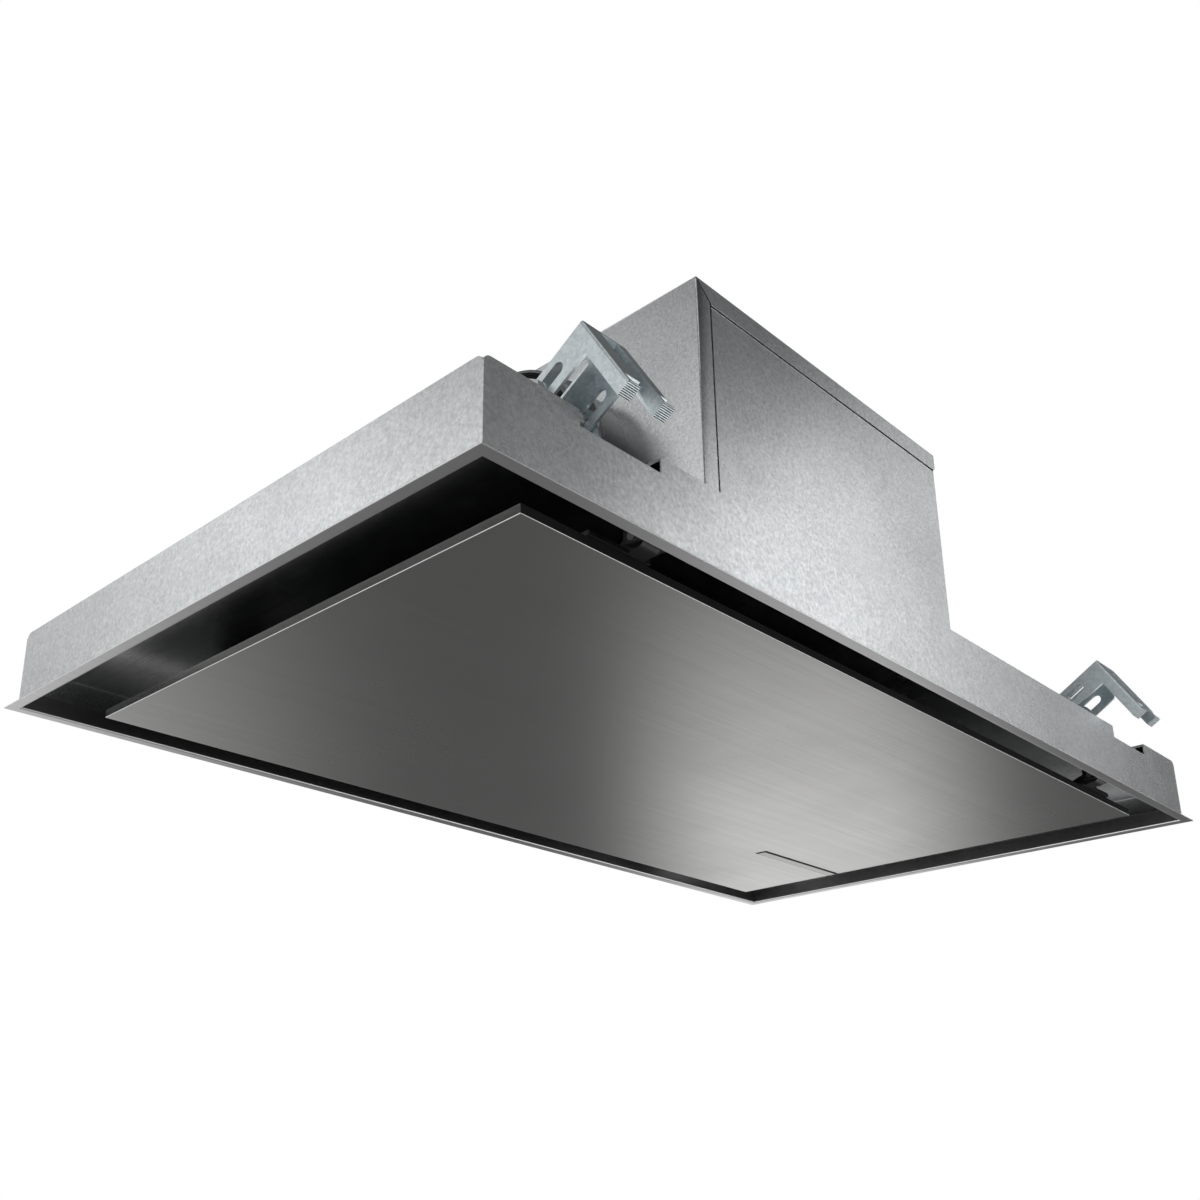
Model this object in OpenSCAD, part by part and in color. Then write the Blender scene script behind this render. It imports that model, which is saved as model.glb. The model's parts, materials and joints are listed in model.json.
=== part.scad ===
// Ceiling range hood with perimeter intake, a hinged cover panel and a blower box.
// Millimetres. +X runs along the long side, +Y to the back and +Z up.
// The origin is the centre of the flange's visible underside.

/* [Flange and housing] */
// Length of the flange, along X
flange_l = 900; // [860:10:1000]
// Depth of the flange, along Y
flange_d = 500; // [480:10:560]
// Width of the flange's ring, from its outer edge to the opening
flange_w = 9; // [9:0.5:14]
// Distance that the flange stands out past the housing walls
flange_over = 7; // [5:0.5:7]
// Height of the flange's inner leg
flange_leg = 13; // [8:1:14]
// Height of the housing, over the flange's underside
housing_h = 58; // [56:1:80]
// Width of the lip at the top of the housing walls
lip_w = 14; // [10:1:20]
// Radius of the housing walls' upper corners
corner_r = 5; // [2:0.5:8]
// Thickness of the folded sheet
sheet_t = 1; // [0.8:0.1:1.2]
// Height of the intake liner's underside
liner_z = 31; // [31:1:36]
// Height of the liner's edge fold
liner_fold = 12; // [8:1:14]

/* [Cover panel] */
// Air gap between the panel and the flange opening at the short ends
gap_x = 51; // [40:1:60]
// Air gap between the panel and the flange opening at the long sides
gap_y = 25.6; // [24:0.2:32]
// Height of the panel's folded rim
panel_h = 6; // [5:0.5:6]
// Length of the bare strip let into the panel
badge_l = 131; // [80:1:160]
// Width of the bare strip
badge_w = 12.5; // [8:0.5:20]
// Depth of the strip's recess
badge_t = 0.5; // [0.3:0.1:0.6]
// Distance of the strip's middle from the cover panel's back edge
badge_edge = 114.9; // [80:0.1:150]

/* [Panel hinges and catches] */
// Distance of each hinge from the cover panel's end
hinge_end = 90; // [60:5:150]
// Distance of the hinge line outside the panel's front edge
hinge_out = 8.6; // [8:0.2:10]
// Height of the hinge line
hinge_z = 14; // [13.5:0.5:15]
// Radius of the hinge pins
hinge_r = 3; // [2:0.5:3.5]
// Radius of the knuckle round the hinge pin
knuckle_r = 6.5; // [5:0.5:6.5]
// Width of the knuckle
knuckle_w = 15; // [10:1:20]
// Thickness of the hinge bracket's ears
ear_t = 4; // [3:0.5:6]
// Distance of each catch from the cover panel's end
catch_end = 90; // [50:5:190]
// Distance of each catch from the cover panel's back edge
catch_edge = 25.4; // [20:0.2:35]
// Length of a catch
catch_l = 40; // [24:1:60]
// Width of a catch
catch_w = 16; // [10:1:20]

/* [Grease filters] */
// Width of one filter, along X
filter_w = 250; // [200:2:280]
// Depth of one filter, along Y
filter_d = 298; // [240:2:320]
// Thickness of one filter
filter_h = 10; // [8:0.5:12]
// Width of the bar between the two filters
filter_bar = 8; // [6:1:20]
// Width of the filter frame's sides
frame_w = 10; // [8:1:14]
// Travel of the filter latch
latch_travel = 9.5; // [9.5:0.1:10]
// Width of the filter latch
latch_w = 40; // [30:1:60]

/* [Clamp brackets] */
// Distance of the brackets and the wall notches from the flange's end
clamp_end = 110; // [90:5:150]
// Length of a notch in the housing wall
notch_l = 67; // [60:1:80]
// Depth of a notch, down from the top of the wall
notch_h = 10.4; // [8:0.2:14]
// Depth of the notch in the deck, in from the wall's face
notch_in = 17.5; // [12:0.5:22]
// Width of a bracket over its two cheeks
clamp_w = 38.5; // [36:0.5:42]
// Thickness of the bracket's sheet
clamp_t = 2; // [1.5:0.1:2.5]
// Tilt of the bracket's leg below level at rest
clamp_tilt = 31.1; // [20:0.1:40]
// Length of the bracket's leg
leg_l = 60; // [56:1:66]
// Depth of the bracket's leg
leg_d = 21; // [19:0.5:24]
// Length of the bracket's arm
arm_l = 65; // [55:1:70]
// Width of the bracket's arm
arm_w = 10; // [8:0.5:12]
// Distance from the near arm to the far arm
arm_step = 29; // [27:0.5:30]
// Distance of the clamp bolt in from the wall's face
bolt_in = 46; // [44:1:52]
// Height of the clamp bolt over the deck
bolt_up = 38; // [36:1:44]
// Radius of the clamp bolt's shoulder
bolt_r = 4.2; // [3:0.1:4.5]
// Distance of the bolt from the bend, along the leg
bolt_u = 47; // [45:0.5:49]
// Distance of the bolt from the top of the leg
bolt_v = 10; // [9:0.5:11]

/* [Blower box] */
// Length of the box, along X
box_w = 340; // [330:2:380]
// Depth of the box, along Y
box_d = 343; // [340:1:380]
// Space between the motor and the lid
lid_gap = 7; // [4:1:30]
// Depth of the lid's rim
rim_h = 15.5; // [10:0.5:20]
// Distance that the lid's rim stands out past the right wall
rim_over = 1.5; // [1.5:0.1:2.5]
// Width of the folded strip at the front's left edge
strip_w = 16; // [12:0.5:24]
// Width of the foot fold that stands on the deck
foot_w = 12; // [8:1:16]

/* [Duct collar and damper] */
// Place of the collar's axis along Y
collar_y = -25; // [-30:1:-20]
// Radius of the spigot that the duct slides over
spigot_r = 74.5; // [74.5:0.5:75]
// Length of the spigot past the stop rib
spigot_l = 25.5; // [20:0.5:60]
// Radius of the collar's base
collar_r = 76.5; // [76:0.5:78]
// Length of the collar's base, from the box to the spigot
collar_l = 29.5; // [26:0.5:36]
// Thickness of the collar's wall
collar_t = 3; // [2:0.5:3.5]
// Radius of the stop rib
rib_r = 78.5; // [78.5:0.5:82]
// Thickness of the stop rib
rib_t = 3; // [2:0.5:4]
// Thickness of the damper flaps
flap_t = 1.2; // [1:0.1:2]
// Radius of the damper pin
flap_pin_r = 1.5; // [1:0.1:2]
// Distance of the damper pin from the box wall
flap_out = 14; // [12:0.5:16]

/* [Fan and motor] */
// Place of the fan's axis along X
fan_x = 30; // [28:1:32]
// Place of the fan's axis along Y
fan_y = 25; // [23:1:27]
// Radius of the impeller
imp_r = 95; // [88:1:96]
// Number of impeller blades
imp_blades = 36; // [24:1:44]
// Height of the fan tray over the deck
tray_h = 48; // [46:1:50]
// Height of the scroll housing
scroll_h = 152; // [150:1:153]
// Thickness of the scroll's walls
scroll_t = 1.5; // [1:0.1:2]
// Radius of the fan inlet
inlet_r = 76; // [70:1:78]
// Radius of the motor case
motor_r = 46; // [40:1:48]
// Height of the motor case
motor_h = 50; // [46:1:50]
// Radius of the motor shaft
shaft_r = 4; // [3:0.5:5]
// Length of the control box
ctrl_l = 115; // [80:1:118]
// Width of the control box
ctrl_w = 53; // [40:1:54]
// Height of the control box
ctrl_h = 85; // [60:1:90]
// Radius of the cable gland's bore
gland_r = 4.5; // [3:0.5:5]

/* [Fits] */
// Radial clearance of a running fit
run_c = 0.05; // [0.03:0.01:0.08]
// Gap between two faces that move past each other
slide_c = 0.3; // [0.2:0.05:0.5]
// Gap between a hinge's knuckle and its bracket's ear
ear_c = 0.5; // [0.3:0.1:1]

/* [Hidden] */
$fn = 96;
// Overlap that joins two bodies of one piece, or takes a cut past a face
eps = 0.5;

// Housing walls and opening
wall_l = flange_l - 2 * flange_over;
wall_d = flange_d - 2 * flange_over;
in_l = wall_l - 2 * sheet_t;
in_d = wall_d - 2 * sheet_t;
open_l = flange_l - 2 * flange_w;
open_d = flange_d - 2 * flange_w;
deck_top = housing_h - sheet_t;
deck_gap = 0.5;

// Cover panel
panel_l = open_l - 2 * gap_x;
panel_d = open_d - 2 * gap_y;
back_gap = 0.2;
badge_y = panel_d / 2 - badge_edge;
hinge_x = panel_l / 2 - hinge_end;
hinge_y = -panel_d / 2 - hinge_out;
catch_x = panel_l / 2 - catch_end;
catch_y = panel_d / 2 - catch_edge;
pad_in = 12;
pad_out = 40;
pad_d = 24;
pad_t = 3;
pad_y = hinge_out - 2.6;

// Filters and their openings in the liner
filter_gap = 1;
filter_x = filter_bar / 2 + filter_gap + filter_w / 2;
tab_t = 1.5;
tab_w = 20;
tab_reach = 8;
filter_top = liner_z + sheet_t + tab_t;
filter_z = filter_top - filter_h;
floor_t = 1;
latch_l = 14;
latch_wall = 4;
pull_w = 12;
pull_t = 4;
pull_drop = 5;
mesh_inset = 2;
pocket_l = latch_l + latch_travel + 2 * slide_c;
pocket_w = latch_w + 2 * slide_c;

// Clamp brackets
clamp_x = flange_l / 2 - clamp_end;
bolt_y = -(wall_d / 2 - bolt_in);
bolt_z = deck_top + bolt_up;
slot_r = bolt_r + run_c;
slot_u = 24;
near_flange = 14.6;
flange_end = 9;
web_slot_w = 5;
web_slot_u = 17;
carrier_t = 2;
carrier_r = 8;
carrier_foot = 36;
head_r = 8;
head_t = 4;

// Blower box
box_l = -box_w / 2;
box_r = box_w / 2;
box_f = -box_d / 2;
box_b = box_d / 2;
front_y = box_f + sheet_t;
tray_t = 2;
tray_top = deck_top + tray_h;
scroll_top = tray_top + scroll_h;
motor_z0 = scroll_top - 16;
motor_z1 = motor_z0 + motor_h;
lid_z = motor_z1 + lid_gap;
box_top = lid_z + sheet_t;
collar_z = tray_top + scroll_h / 2;

// Duct collar and damper
bore_r = spigot_r - collar_t;
base_l = collar_l + sheet_t;
plug_c = 0.1;
base_bore = spigot_r - 1.1;
collar_flange_r = collar_r + 9;
collar_flange_t = 2;
wall_in = box_l + sheet_t;
flap_x = box_l - flap_out;
flap_knuckle_r = 3.2;
flap_r = bore_r - 0.7;
stop_w = 4;
stop_t = 2;
knuckle_mid = 18;
knuckle_end = 58;

// Fan
tray_gap = 2;
scroll_r0 = imp_r + 5;
outlet_half = bore_r - 1;
scroll_open = wall_in + collar_flange_t + slide_c;
cut_angle = 170;
outlet_low = collar_y - outlet_half;
scroll_r1 = fan_y - outlet_low;
inlet_c = 0.5;
imp_z0 = tray_top + 10;
imp_z1 = scroll_top - 20;
blade_l = 14;
blade_t = 1.2;
blade_c = 0.1;
disc_t = 2;
hub_r = 12;
hub_h = 16;
motor_flange_r = motor_r + 12;
motor_flange_t = 2;
bearing_r = 11;
bearing_h = 7;
motor_wall = 2;
stator_in = motor_r - 19;
stator_gap = 3;
rotor_r = stator_in - 0.5;
ctrl_t = 1.5;
ctrl_x1 = box_r - sheet_t - 9;
ctrl_y0 = front_y + sheet_t + 3;
ctrl_lid_t = 2;
board_z = 6;
board_t = 1.6;
board_edge = 4;
coil = [30, 25, 22];
coil_x = 15;
relay = [16, 16, 14];
relay_x = 55;
block = [22, 12, 16];
block_x = 80;
part_y = 12;
cap_r = 17;
cap_h = 70;
cap_x = 10;
gland_body_r = 8;
gland_y = ctrl_y0 + ctrl_w / 2;
gland_up = 25;
gland_z = tray_top + ctrl_h + gland_up;
gland_in = 10;
gland_out = 15;

// Screws
screw_r = 2;
screw_head_r = 4;
screw_head_t = 2.2;
screw_l = 5;

// Plain box between two corners
module span(a, b) {
    translate(a) cube([b[0] - a[0], b[1] - a[1], b[2] - a[2]]);
}

// Tube along Z
module ring(r_out, r_in, h) {
    difference() {
        cylinder(r = r_out, h = h);
        translate([0, 0, -eps]) cylinder(r = r_in, h = h + 2 * eps);
    }
}

// Rod along X, centred on its own middle
module rod_x(r, l) {
    rotate([0, 90, 0]) translate([0, 0, -l / 2]) cylinder(r = r, h = l);
}

// Screw with its head's underside at the origin and its shank pointing down
module screw() {
    cylinder(r = screw_head_r, h = screw_head_t);
    translate([0, 0, -screw_l]) cylinder(r = screw_r, h = screw_l + screw_head_t / 2, $fn = 32);
}

// Through hole for the screw's shank, either side of the origin
module screw_hole(depth) {
    translate([0, 0, -depth]) cylinder(r = screw_r, h = 2 * depth, $fn = 32);
}

// Corner cutter that leaves a round of radius r at the origin's lower left
module corner_cut(r) {
    difference() {
        translate([-r, -r]) square(r + eps);
        translate([-r, -r]) circle(r = r);
    }
}

// One housing wall in its own plane, with round upper corners and notches at the given places
module wall_sheet(l, notches) {
    rotate([90, 0, 0]) linear_extrude(sheet_t) difference() {
        translate([-l / 2, sheet_t]) square([l, housing_h - sheet_t]);
        translate([l / 2, housing_h]) corner_cut(corner_r);
        translate([-l / 2, housing_h]) mirror([1, 0]) corner_cut(corner_r);
        for (x = notches)
            translate([x - notch_l / 2, housing_h - notch_h]) square([notch_l, notch_h + eps]);
    }
}

// The two notch places along X, over a depth in from each long wall
module notch_blocks(depth) {
    for (sx = [-1, 1])
        for (sy = [-1, 1])
            translate([sx * clamp_x, sy * wall_d / 2, housing_h])
                cube([notch_l, 2 * depth, 4 * notch_h], center = true);
}

// Places of the screws that hold the deck under the lip
module deck_places() {
    edge_x = in_l / 2 - lip_w / 2;
    edge_y = in_d / 2 - lip_w / 2;
    for (x = [-1, 0, 1])
        for (sy = [-1, 1])
            translate([x * in_l / 4, sy * edge_y, housing_h]) children();
    for (sx = [-1, 1])
        for (y = [-1, 0, 1])
            translate([sx * edge_x, y * in_d * 0.3, housing_h]) children();
}

module flange_frame() {
    color("gainsboro") difference() {
        union() {
            translate([-flange_l / 2, -flange_d / 2, 0]) cube([flange_l, flange_d, sheet_t]);
            translate([-in_l / 2, -in_d / 2, 0]) cube([in_l, in_d, sheet_t + flange_leg]);
        }
        translate([-open_l / 2, -open_d / 2, -eps]) cube([open_l, open_d, flange_leg + 2 * sheet_t + eps]);
    }
}

module housing_shell() {
    color("silver") {
        translate([0, -in_d / 2, 0]) wall_sheet(wall_l, [-clamp_x, clamp_x]);
        translate([0, wall_d / 2, 0]) wall_sheet(wall_l, [-clamp_x, clamp_x]);
        for (sx = [-1, 1])
            translate([sx * (wall_l - sheet_t) / 2, 0, 0]) rotate([0, 0, 90])
                translate([0, sheet_t / 2, 0]) wall_sheet(in_d + eps, []);
        difference() {
            translate([-in_l / 2 - eps / 2, -in_d / 2 - eps / 2, housing_h - sheet_t])
                cube([in_l + eps, in_d + eps, sheet_t]);
            translate([-in_l / 2 + lip_w, -in_d / 2 + lip_w, 0])
                cube([in_l - 2 * lip_w, in_d - 2 * lip_w, housing_h + eps]);
            for (sx = [-1, 1])
                for (sy = [-1, 1])
                    translate([sx * in_l / 2, sy * in_d / 2, housing_h])
                        cube([2 * corner_r, 2 * corner_r, 4 * sheet_t], center = true);
            notch_blocks(notch_in);
            deck_places() screw_hole(2 * sheet_t);
        }
    }
}

module top_deck() {
    hole_x = box_w / 2 - 20;
    hole_y = box_d / 2 - 21.5;
    color("darkgray") difference() {
        span([-in_l / 2 + deck_gap, -in_d / 2 + deck_gap, deck_top - sheet_t],
            [in_l / 2 - deck_gap, in_d / 2 - deck_gap, deck_top]);
        span([-hole_x, -hole_y, 0], [hole_x, hole_y, housing_h]);
        notch_blocks(notch_in);
        deck_places() screw_hole(4 * sheet_t);
        carrier_places() screw_hole(4 * sheet_t);
    }
}

module intake_liner() {
    hole_x = filter_w / 2 + filter_gap;
    hole_y = filter_d / 2 + filter_gap;
    color("lightgray") difference() {
        span([-in_l / 2, -in_d / 2, liner_z], [in_l / 2, in_d / 2, liner_z + liner_fold + sheet_t]);
        span([-in_l / 2 + sheet_t, -in_d / 2 + sheet_t, liner_z + sheet_t],
            [in_l / 2 - sheet_t, in_d / 2 - sheet_t, housing_h]);
        for (sx = [-1, 1])
            translate([sx * filter_x, 0, 0]) span([-hole_x, -hole_y, 0], [hole_x, hole_y, housing_h]);
    }
}

// Puts a front clamp part at its place: side -1 is left and 1 right, and the back ones are turned round
module at_clamp(side, back) {
    rotate([0, 0, back ? 180 : 0])
        translate([(back ? -side : side) * clamp_x, bolt_y, bolt_z])
            children();
}

// Sheet cheek in the plane of the leg and the arm. Its first axis runs along the leg from the bend
// and its second axis up, against the arm.
module cheek(x, points, slotted) {
    translate([x, 0, 0]) rotate([90, 0, 90]) linear_extrude(clamp_t) difference() {
        polygon([for (p = points) [p[0] - bolt_u, bolt_v - p[1]]]);
        if (slotted) {
            circle(r = slot_r);
            translate([slot_u + slot_r - bolt_u, 0]) circle(r = slot_r);
            translate([slot_u + slot_r - bolt_u, -slot_r]) square([bolt_u - slot_u - slot_r, 2 * slot_r]);
        }
    }
}

module clamp_bracket(side, back) {
    far = clamp_w - clamp_t;
    color("lightsteelblue") at_clamp(side, back) rotate([-clamp_tilt, 0, 0]) translate([-clamp_w / 2, 0, 0]) {
        cheek(0, [[0, 0], [leg_l, 0], [leg_l, leg_d], [arm_w, leg_d], [arm_w, arm_l], [0, arm_l]], true);
        cheek(far, [[arm_w, 0], [leg_l, 0], [leg_l, leg_d], [arm_w + 6, leg_d], [arm_w, leg_d - 6]], true);
        cheek(arm_step, [[0, 0], [arm_w, 0], [arm_w, arm_l], [0, arm_l]], false);
        difference() {
            translate([0, -bolt_u, bolt_v - clamp_t]) cube([clamp_w, leg_l, clamp_t]);
            translate([clamp_w / 2, web_slot_u - bolt_u, 0]) {
                translate([0, web_slot_w / 2, 0]) cylinder(r = web_slot_w / 2, h = 2 * bolt_v);
                translate([-web_slot_w / 2, web_slot_w / 2, 0])
                    cube([web_slot_w, leg_l - web_slot_u - 2 * web_slot_w, 2 * bolt_v]);
                translate([0, leg_l - web_slot_u - 1.5 * web_slot_w, 0])
                    cylinder(r = web_slot_w / 2, h = 2 * bolt_v);
            }
        }
        translate([0, -bolt_u, bolt_v - arm_l + flange_end]) cube([near_flange, clamp_t, arm_l - flange_end]);
        translate([arm_step, -bolt_u, bolt_v - arm_l + flange_end])
            cube([clamp_w - arm_step, clamp_t, arm_l - flange_end]);
        for (x = [0, arm_step])
            translate([x, -bolt_u, bolt_v - arm_l]) cube([clamp_w - arm_step, arm_w, clamp_t]);
    }
}

// Places of the screws that hold the carriers, in a bracket's own frame
module foot_places(z) {
    for (x = [-1, 1])
        translate([x * clamp_w / 4, 0, z]) children();
}

module carrier_places() {
    every_clamp() foot_places(-bolt_up) children();
}

module clamp_carrier(side, back) {
    in_w = clamp_w + 2 * slide_c;
    base_z = -bolt_up;
    color("dimgray") at_clamp(side, back) difference() {
        union() {
            for (sx = [-1, 1])
                translate([sx * (in_w + carrier_t) / 2 - carrier_t / 2, 0, 0]) rotate([90, 0, 90])
                    linear_extrude(carrier_t) {
                        circle(r = carrier_r);
                        polygon([[-carrier_foot / 2, base_z], [carrier_foot / 2, base_z],
                            [carrier_foot / 2, base_z + 4], [carrier_r, 0], [-carrier_r, 0],
                            [-carrier_foot / 2, base_z + 4]]);
                    }
            translate([-in_w / 2 - eps, -carrier_foot / 2, base_z]) cube([in_w + 2 * eps, carrier_foot, carrier_t]);
        }
        rod_x(bolt_r, 2 * in_w);
        foot_places(base_z) screw_hole(2 * carrier_t);
    }
}

module every_clamp() {
    for (side = [-1, 1])
        for (back = [false, true])
            at_clamp(side, back) children();
}

module clamp_bolts() {
    l = clamp_w + 2 * slide_c + 2 * carrier_t;
    color("silver") every_clamp() {
        rod_x(bolt_r, l);
        translate([-l / 2 - head_t / 2, 0, 0]) rotate([0, 90, 0]) translate([0, 0, -head_t / 2])
            cylinder(r = head_r, h = head_t, $fn = 6);
        translate([l / 2 + head_t / 2, 0, 0]) rod_x(3, head_t + 3);
    }
}

module clamp_nuts() {
    l = clamp_w + 2 * slide_c + 2 * carrier_t;
    color("silver") every_clamp() translate([l / 2, 0, 0]) rotate([0, 90, 0]) difference() {
        cylinder(r = head_r, h = head_t, $fn = 6);
        translate([0, 0, -eps]) cylinder(r = 3, h = head_t + 2 * eps);
    }
}

// Space of the bare strip, with a margin on the sides that don't reach the panel's end
module badge_space(margin) {
    span([panel_l / 2 - badge_l - margin, badge_y - badge_w / 2 - margin, -eps],
        [panel_l / 2 - badge_t, badge_y + badge_w / 2 + margin, badge_t]);
}

module cover_panel() {
    color("gray") difference() {
        translate([-panel_l / 2, -panel_d / 2, 0]) cube([panel_l, panel_d, panel_h]);
        translate([-panel_l / 2 + sheet_t, -panel_d / 2 + sheet_t, sheet_t])
            cube([panel_l - 2 * sheet_t, panel_d - 2 * sheet_t, panel_h]);
        badge_space(0.4);
    }
}

module panel_backing() {
    half_x = panel_l / 2 - sheet_t - back_gap;
    half_y = panel_d / 2 - sheet_t - back_gap;
    color("darkgray") difference() {
        span([-half_x, -half_y, sheet_t], [half_x, half_y, panel_h]);
        span([-half_x + sheet_t, -half_y + sheet_t, 0], [half_x - sheet_t, half_y - sheet_t, panel_h - sheet_t]);
    }
}

module badge_strip() {
    color("gray") difference() {
        badge_space(0);
        translate([0, badge_y, -panel_h]) cube([2 * panel_l, 2 * badge_w, 2 * panel_h], center = true);
    }
}

// Puts a hinge part at the hinge line, with the left one mirrored
module at_hinge(side) {
    translate([side * hinge_x, hinge_y, hinge_z]) mirror([side < 0 ? 1 : 0, 0, 0]) children();
}

module hinge_bracket(side) {
    wall_y = -in_d / 2 - hinge_y;
    top = liner_z - hinge_z;
    leg_top = sheet_t + flange_leg + 1 - hinge_z;
    ear_x = knuckle_w / 2 + ear_c;
    ear_y = 6;
    ear_z = 4;
    color("black") at_hinge(side) {
        difference() {
            for (sx = [-1, 1])
                translate([sx * (ear_x + ear_t / 2) - ear_t / 2, 0, 0]) rotate([90, 0, 90]) linear_extrude(ear_t)
                    polygon([[wall_y, leg_top], [wall_y, top], [-2, top], [ear_y, ear_z + 1],
                        [ear_y, -ear_z], [-5, -ear_z], [wall_y + 6, leg_top]]);
            rod_x(hinge_r, 4 * knuckle_w);
        }
        span([-ear_x - ear_t, wall_y, leg_top], [ear_x + ear_t, wall_y + 3, top]);
    }
}

module hinge_arm(side) {
    seat = panel_h - hinge_z;
    neck_y = pad_y + pad_d - 4;
    color("black") at_hinge(side) difference() {
        union() {
            rod_x(knuckle_r, knuckle_w);
            translate([-knuckle_w / 2, 0, 0]) rotate([90, 0, 90]) linear_extrude(knuckle_w)
                polygon([[-2, -knuckle_r + 0.5], [pad_y + 4, seat], [neck_y, seat],
                    [neck_y, seat + pad_t], [knuckle_r - 1, 3]]);
            span([-pad_in, pad_y, seat], [pad_out, pad_y + pad_d, seat + pad_t]);
        }
        rod_x(hinge_r + run_c, 4 * knuckle_w);
    }
}

module hinge_pins() {
    l = knuckle_w + 2 * (ear_c + ear_t);
    color("silver") for (side = [-1, 1])
        translate([side * hinge_x, hinge_y, hinge_z]) rod_x(hinge_r, l);
}

module panel_catch(side) {
    low = panel_h + catch_rise() + slide_c;
    color("black") translate([side * catch_x, catch_y, 0]) difference() {
        span([-catch_l / 2, -catch_w / 2, low], [catch_l / 2, catch_w / 2, liner_z]);
        for (x = [-1, 1])
            span([x * catch_l / 4 - 4, -2, 0], [x * catch_l / 4 + 4, 2, low + 1]);
    }
}

// Height of the steel plate that the catch holds
function catch_rise() = 7.7;

module catch_plates() {
    color("silver") for (side = [-1, 1]) translate([side * catch_x, catch_y, panel_h]) {
        span([-catch_l / 2 - 8, -catch_w / 2, 0], [catch_l / 2 + 8, catch_w / 2, 1.5]);
        span([-catch_l / 2, -catch_w / 2, 0], [catch_l / 2, catch_w / 2, catch_rise()]);
    }
}

// Half sizes of the frame over the pocket that holds the latch
module latch_pocket(x_grow, l, z0, z1) {
    y0 = -filter_d / 2;
    span([-pocket_w / 2 - x_grow, y0 - eps, z0], [pocket_w / 2 + x_grow, y0 + l, z1]);
}

module filter_frame(side) {
    half_x = filter_w / 2;
    half_y = filter_d / 2;
    color("silver") translate([side * filter_x, 0, 0]) {
        difference() {
            union() {
                difference() {
                    span([-half_x, -half_y, filter_z], [half_x, half_y, filter_top]);
                    span([-half_x + frame_w, -half_y + frame_w, 0],
                        [half_x - frame_w, half_y - frame_w, housing_h]);
                }
                intersection() {
                    span([-half_x, -half_y, filter_z], [half_x, half_y, filter_top]);
                    latch_pocket(latch_wall, pocket_l + latch_wall, filter_z, filter_top);
                }
            }
            latch_pocket(0, pocket_l, filter_z + floor_t, housing_h);
            span([-pull_w / 2 - slide_c, -half_y + 2, 0],
                [pull_w / 2 + slide_c, -half_y + pocket_l, housing_h]);
        }
        for (x = [-1, 1])
            span([x * half_x / 2 - tab_w / 2, half_y - frame_w / 2, filter_top - tab_t],
                [x * half_x / 2 + tab_w / 2, half_y + filter_gap + tab_reach, filter_top]);
    }
}

module filter_mesh(side) {
    half_x = filter_w / 2 - frame_w;
    half_y = filter_d / 2 - frame_w;
    color("lightgray") translate([side * filter_x, 0, 0]) difference() {
        span([-half_x, -half_y, filter_z + mesh_inset], [half_x, half_y, filter_top - mesh_inset]);
        latch_pocket(latch_wall, pocket_l + latch_wall, 0, housing_h);
    }
}

module filter_latch(side) {
    y0 = -filter_d / 2 + slide_c;
    z0 = filter_z + floor_t + slide_c / 2;
    pull_y = y0 + 5;
    color("dimgray") translate([side * filter_x, 0, 0]) {
        span([-latch_w / 2, y0, z0], [latch_w / 2, y0 + latch_l, filter_top]);
        span([-latch_w / 2, y0 - filter_gap - tab_reach - slide_c, filter_top - tab_t],
            [latch_w / 2, y0 + latch_l, filter_top]);
        span([-pull_w / 2, pull_y, filter_z - pull_drop], [pull_w / 2, pull_y + pull_t, z0 + eps]);
    }
}

// Places of the screws that hold the lid on the wrap's top folds
module lid_places() {
    for (sx = [-1, 1])
        for (y = [-1, 0, 1])
            translate([sx * (box_r - sheet_t - foot_w / 2), y * box_d * 0.4, box_top]) children();
}

module box_left() {
    color("silver") difference() {
        union() {
            span([box_l, box_f, deck_top], [box_l + sheet_t, box_b, lid_z]);
            span([box_l - foot_w, box_f, deck_top], [box_l + sheet_t, box_b, deck_top + sheet_t]);
            span([box_l, front_y + sheet_t, lid_z - sheet_t], [box_l + sheet_t + foot_w, box_b - sheet_t, lid_z]);
            translate([0, front_y, 0]) rotate([90, 0, 0]) linear_extrude(sheet_t)
                polygon([[box_l, deck_top + sheet_t], [box_l + strip_w, deck_top + sheet_t],
                    [box_l + strip_w, box_top - strip_w], [box_l + sheet_t, lid_z], [box_l, lid_z]]);
        }
        lid_places() screw_hole(4 * sheet_t);
        translate([box_l, collar_y, collar_z]) rod_x(collar_r + run_c, 6 * sheet_t);
    }
}

module box_right() {
    color("silver") difference() {
        union() {
            span([box_r - sheet_t, front_y + sheet_t, deck_top], [box_r, box_b, lid_z]);
            span([box_r - sheet_t, front_y + sheet_t, deck_top], [box_r + foot_w, box_b, deck_top + sheet_t]);
            span([box_r - sheet_t - foot_w, front_y + sheet_t, lid_z - sheet_t], [box_r, box_b - sheet_t, lid_z]);
        }
        lid_places() screw_hole(4 * sheet_t);
        translate([box_r, gland_y, gland_z]) rod_x(gland_body_r + run_c, 6 * sheet_t);
    }
}

module box_back() {
    color("darkgray") {
        span([box_l + sheet_t, box_b - sheet_t, deck_top], [box_r - sheet_t, box_b, lid_z]);
        span([box_l + sheet_t, box_b - sheet_t, deck_top], [box_r - sheet_t, box_b + foot_w, deck_top + sheet_t]);
    }
}

module box_front() {
    color("darkgray") {
        span([box_l + sheet_t, front_y, deck_top], [box_r, front_y + sheet_t, lid_z]);
        span([box_l + sheet_t, front_y - foot_w, deck_top], [box_r, front_y + sheet_t, deck_top + sheet_t]);
    }
}

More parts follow.
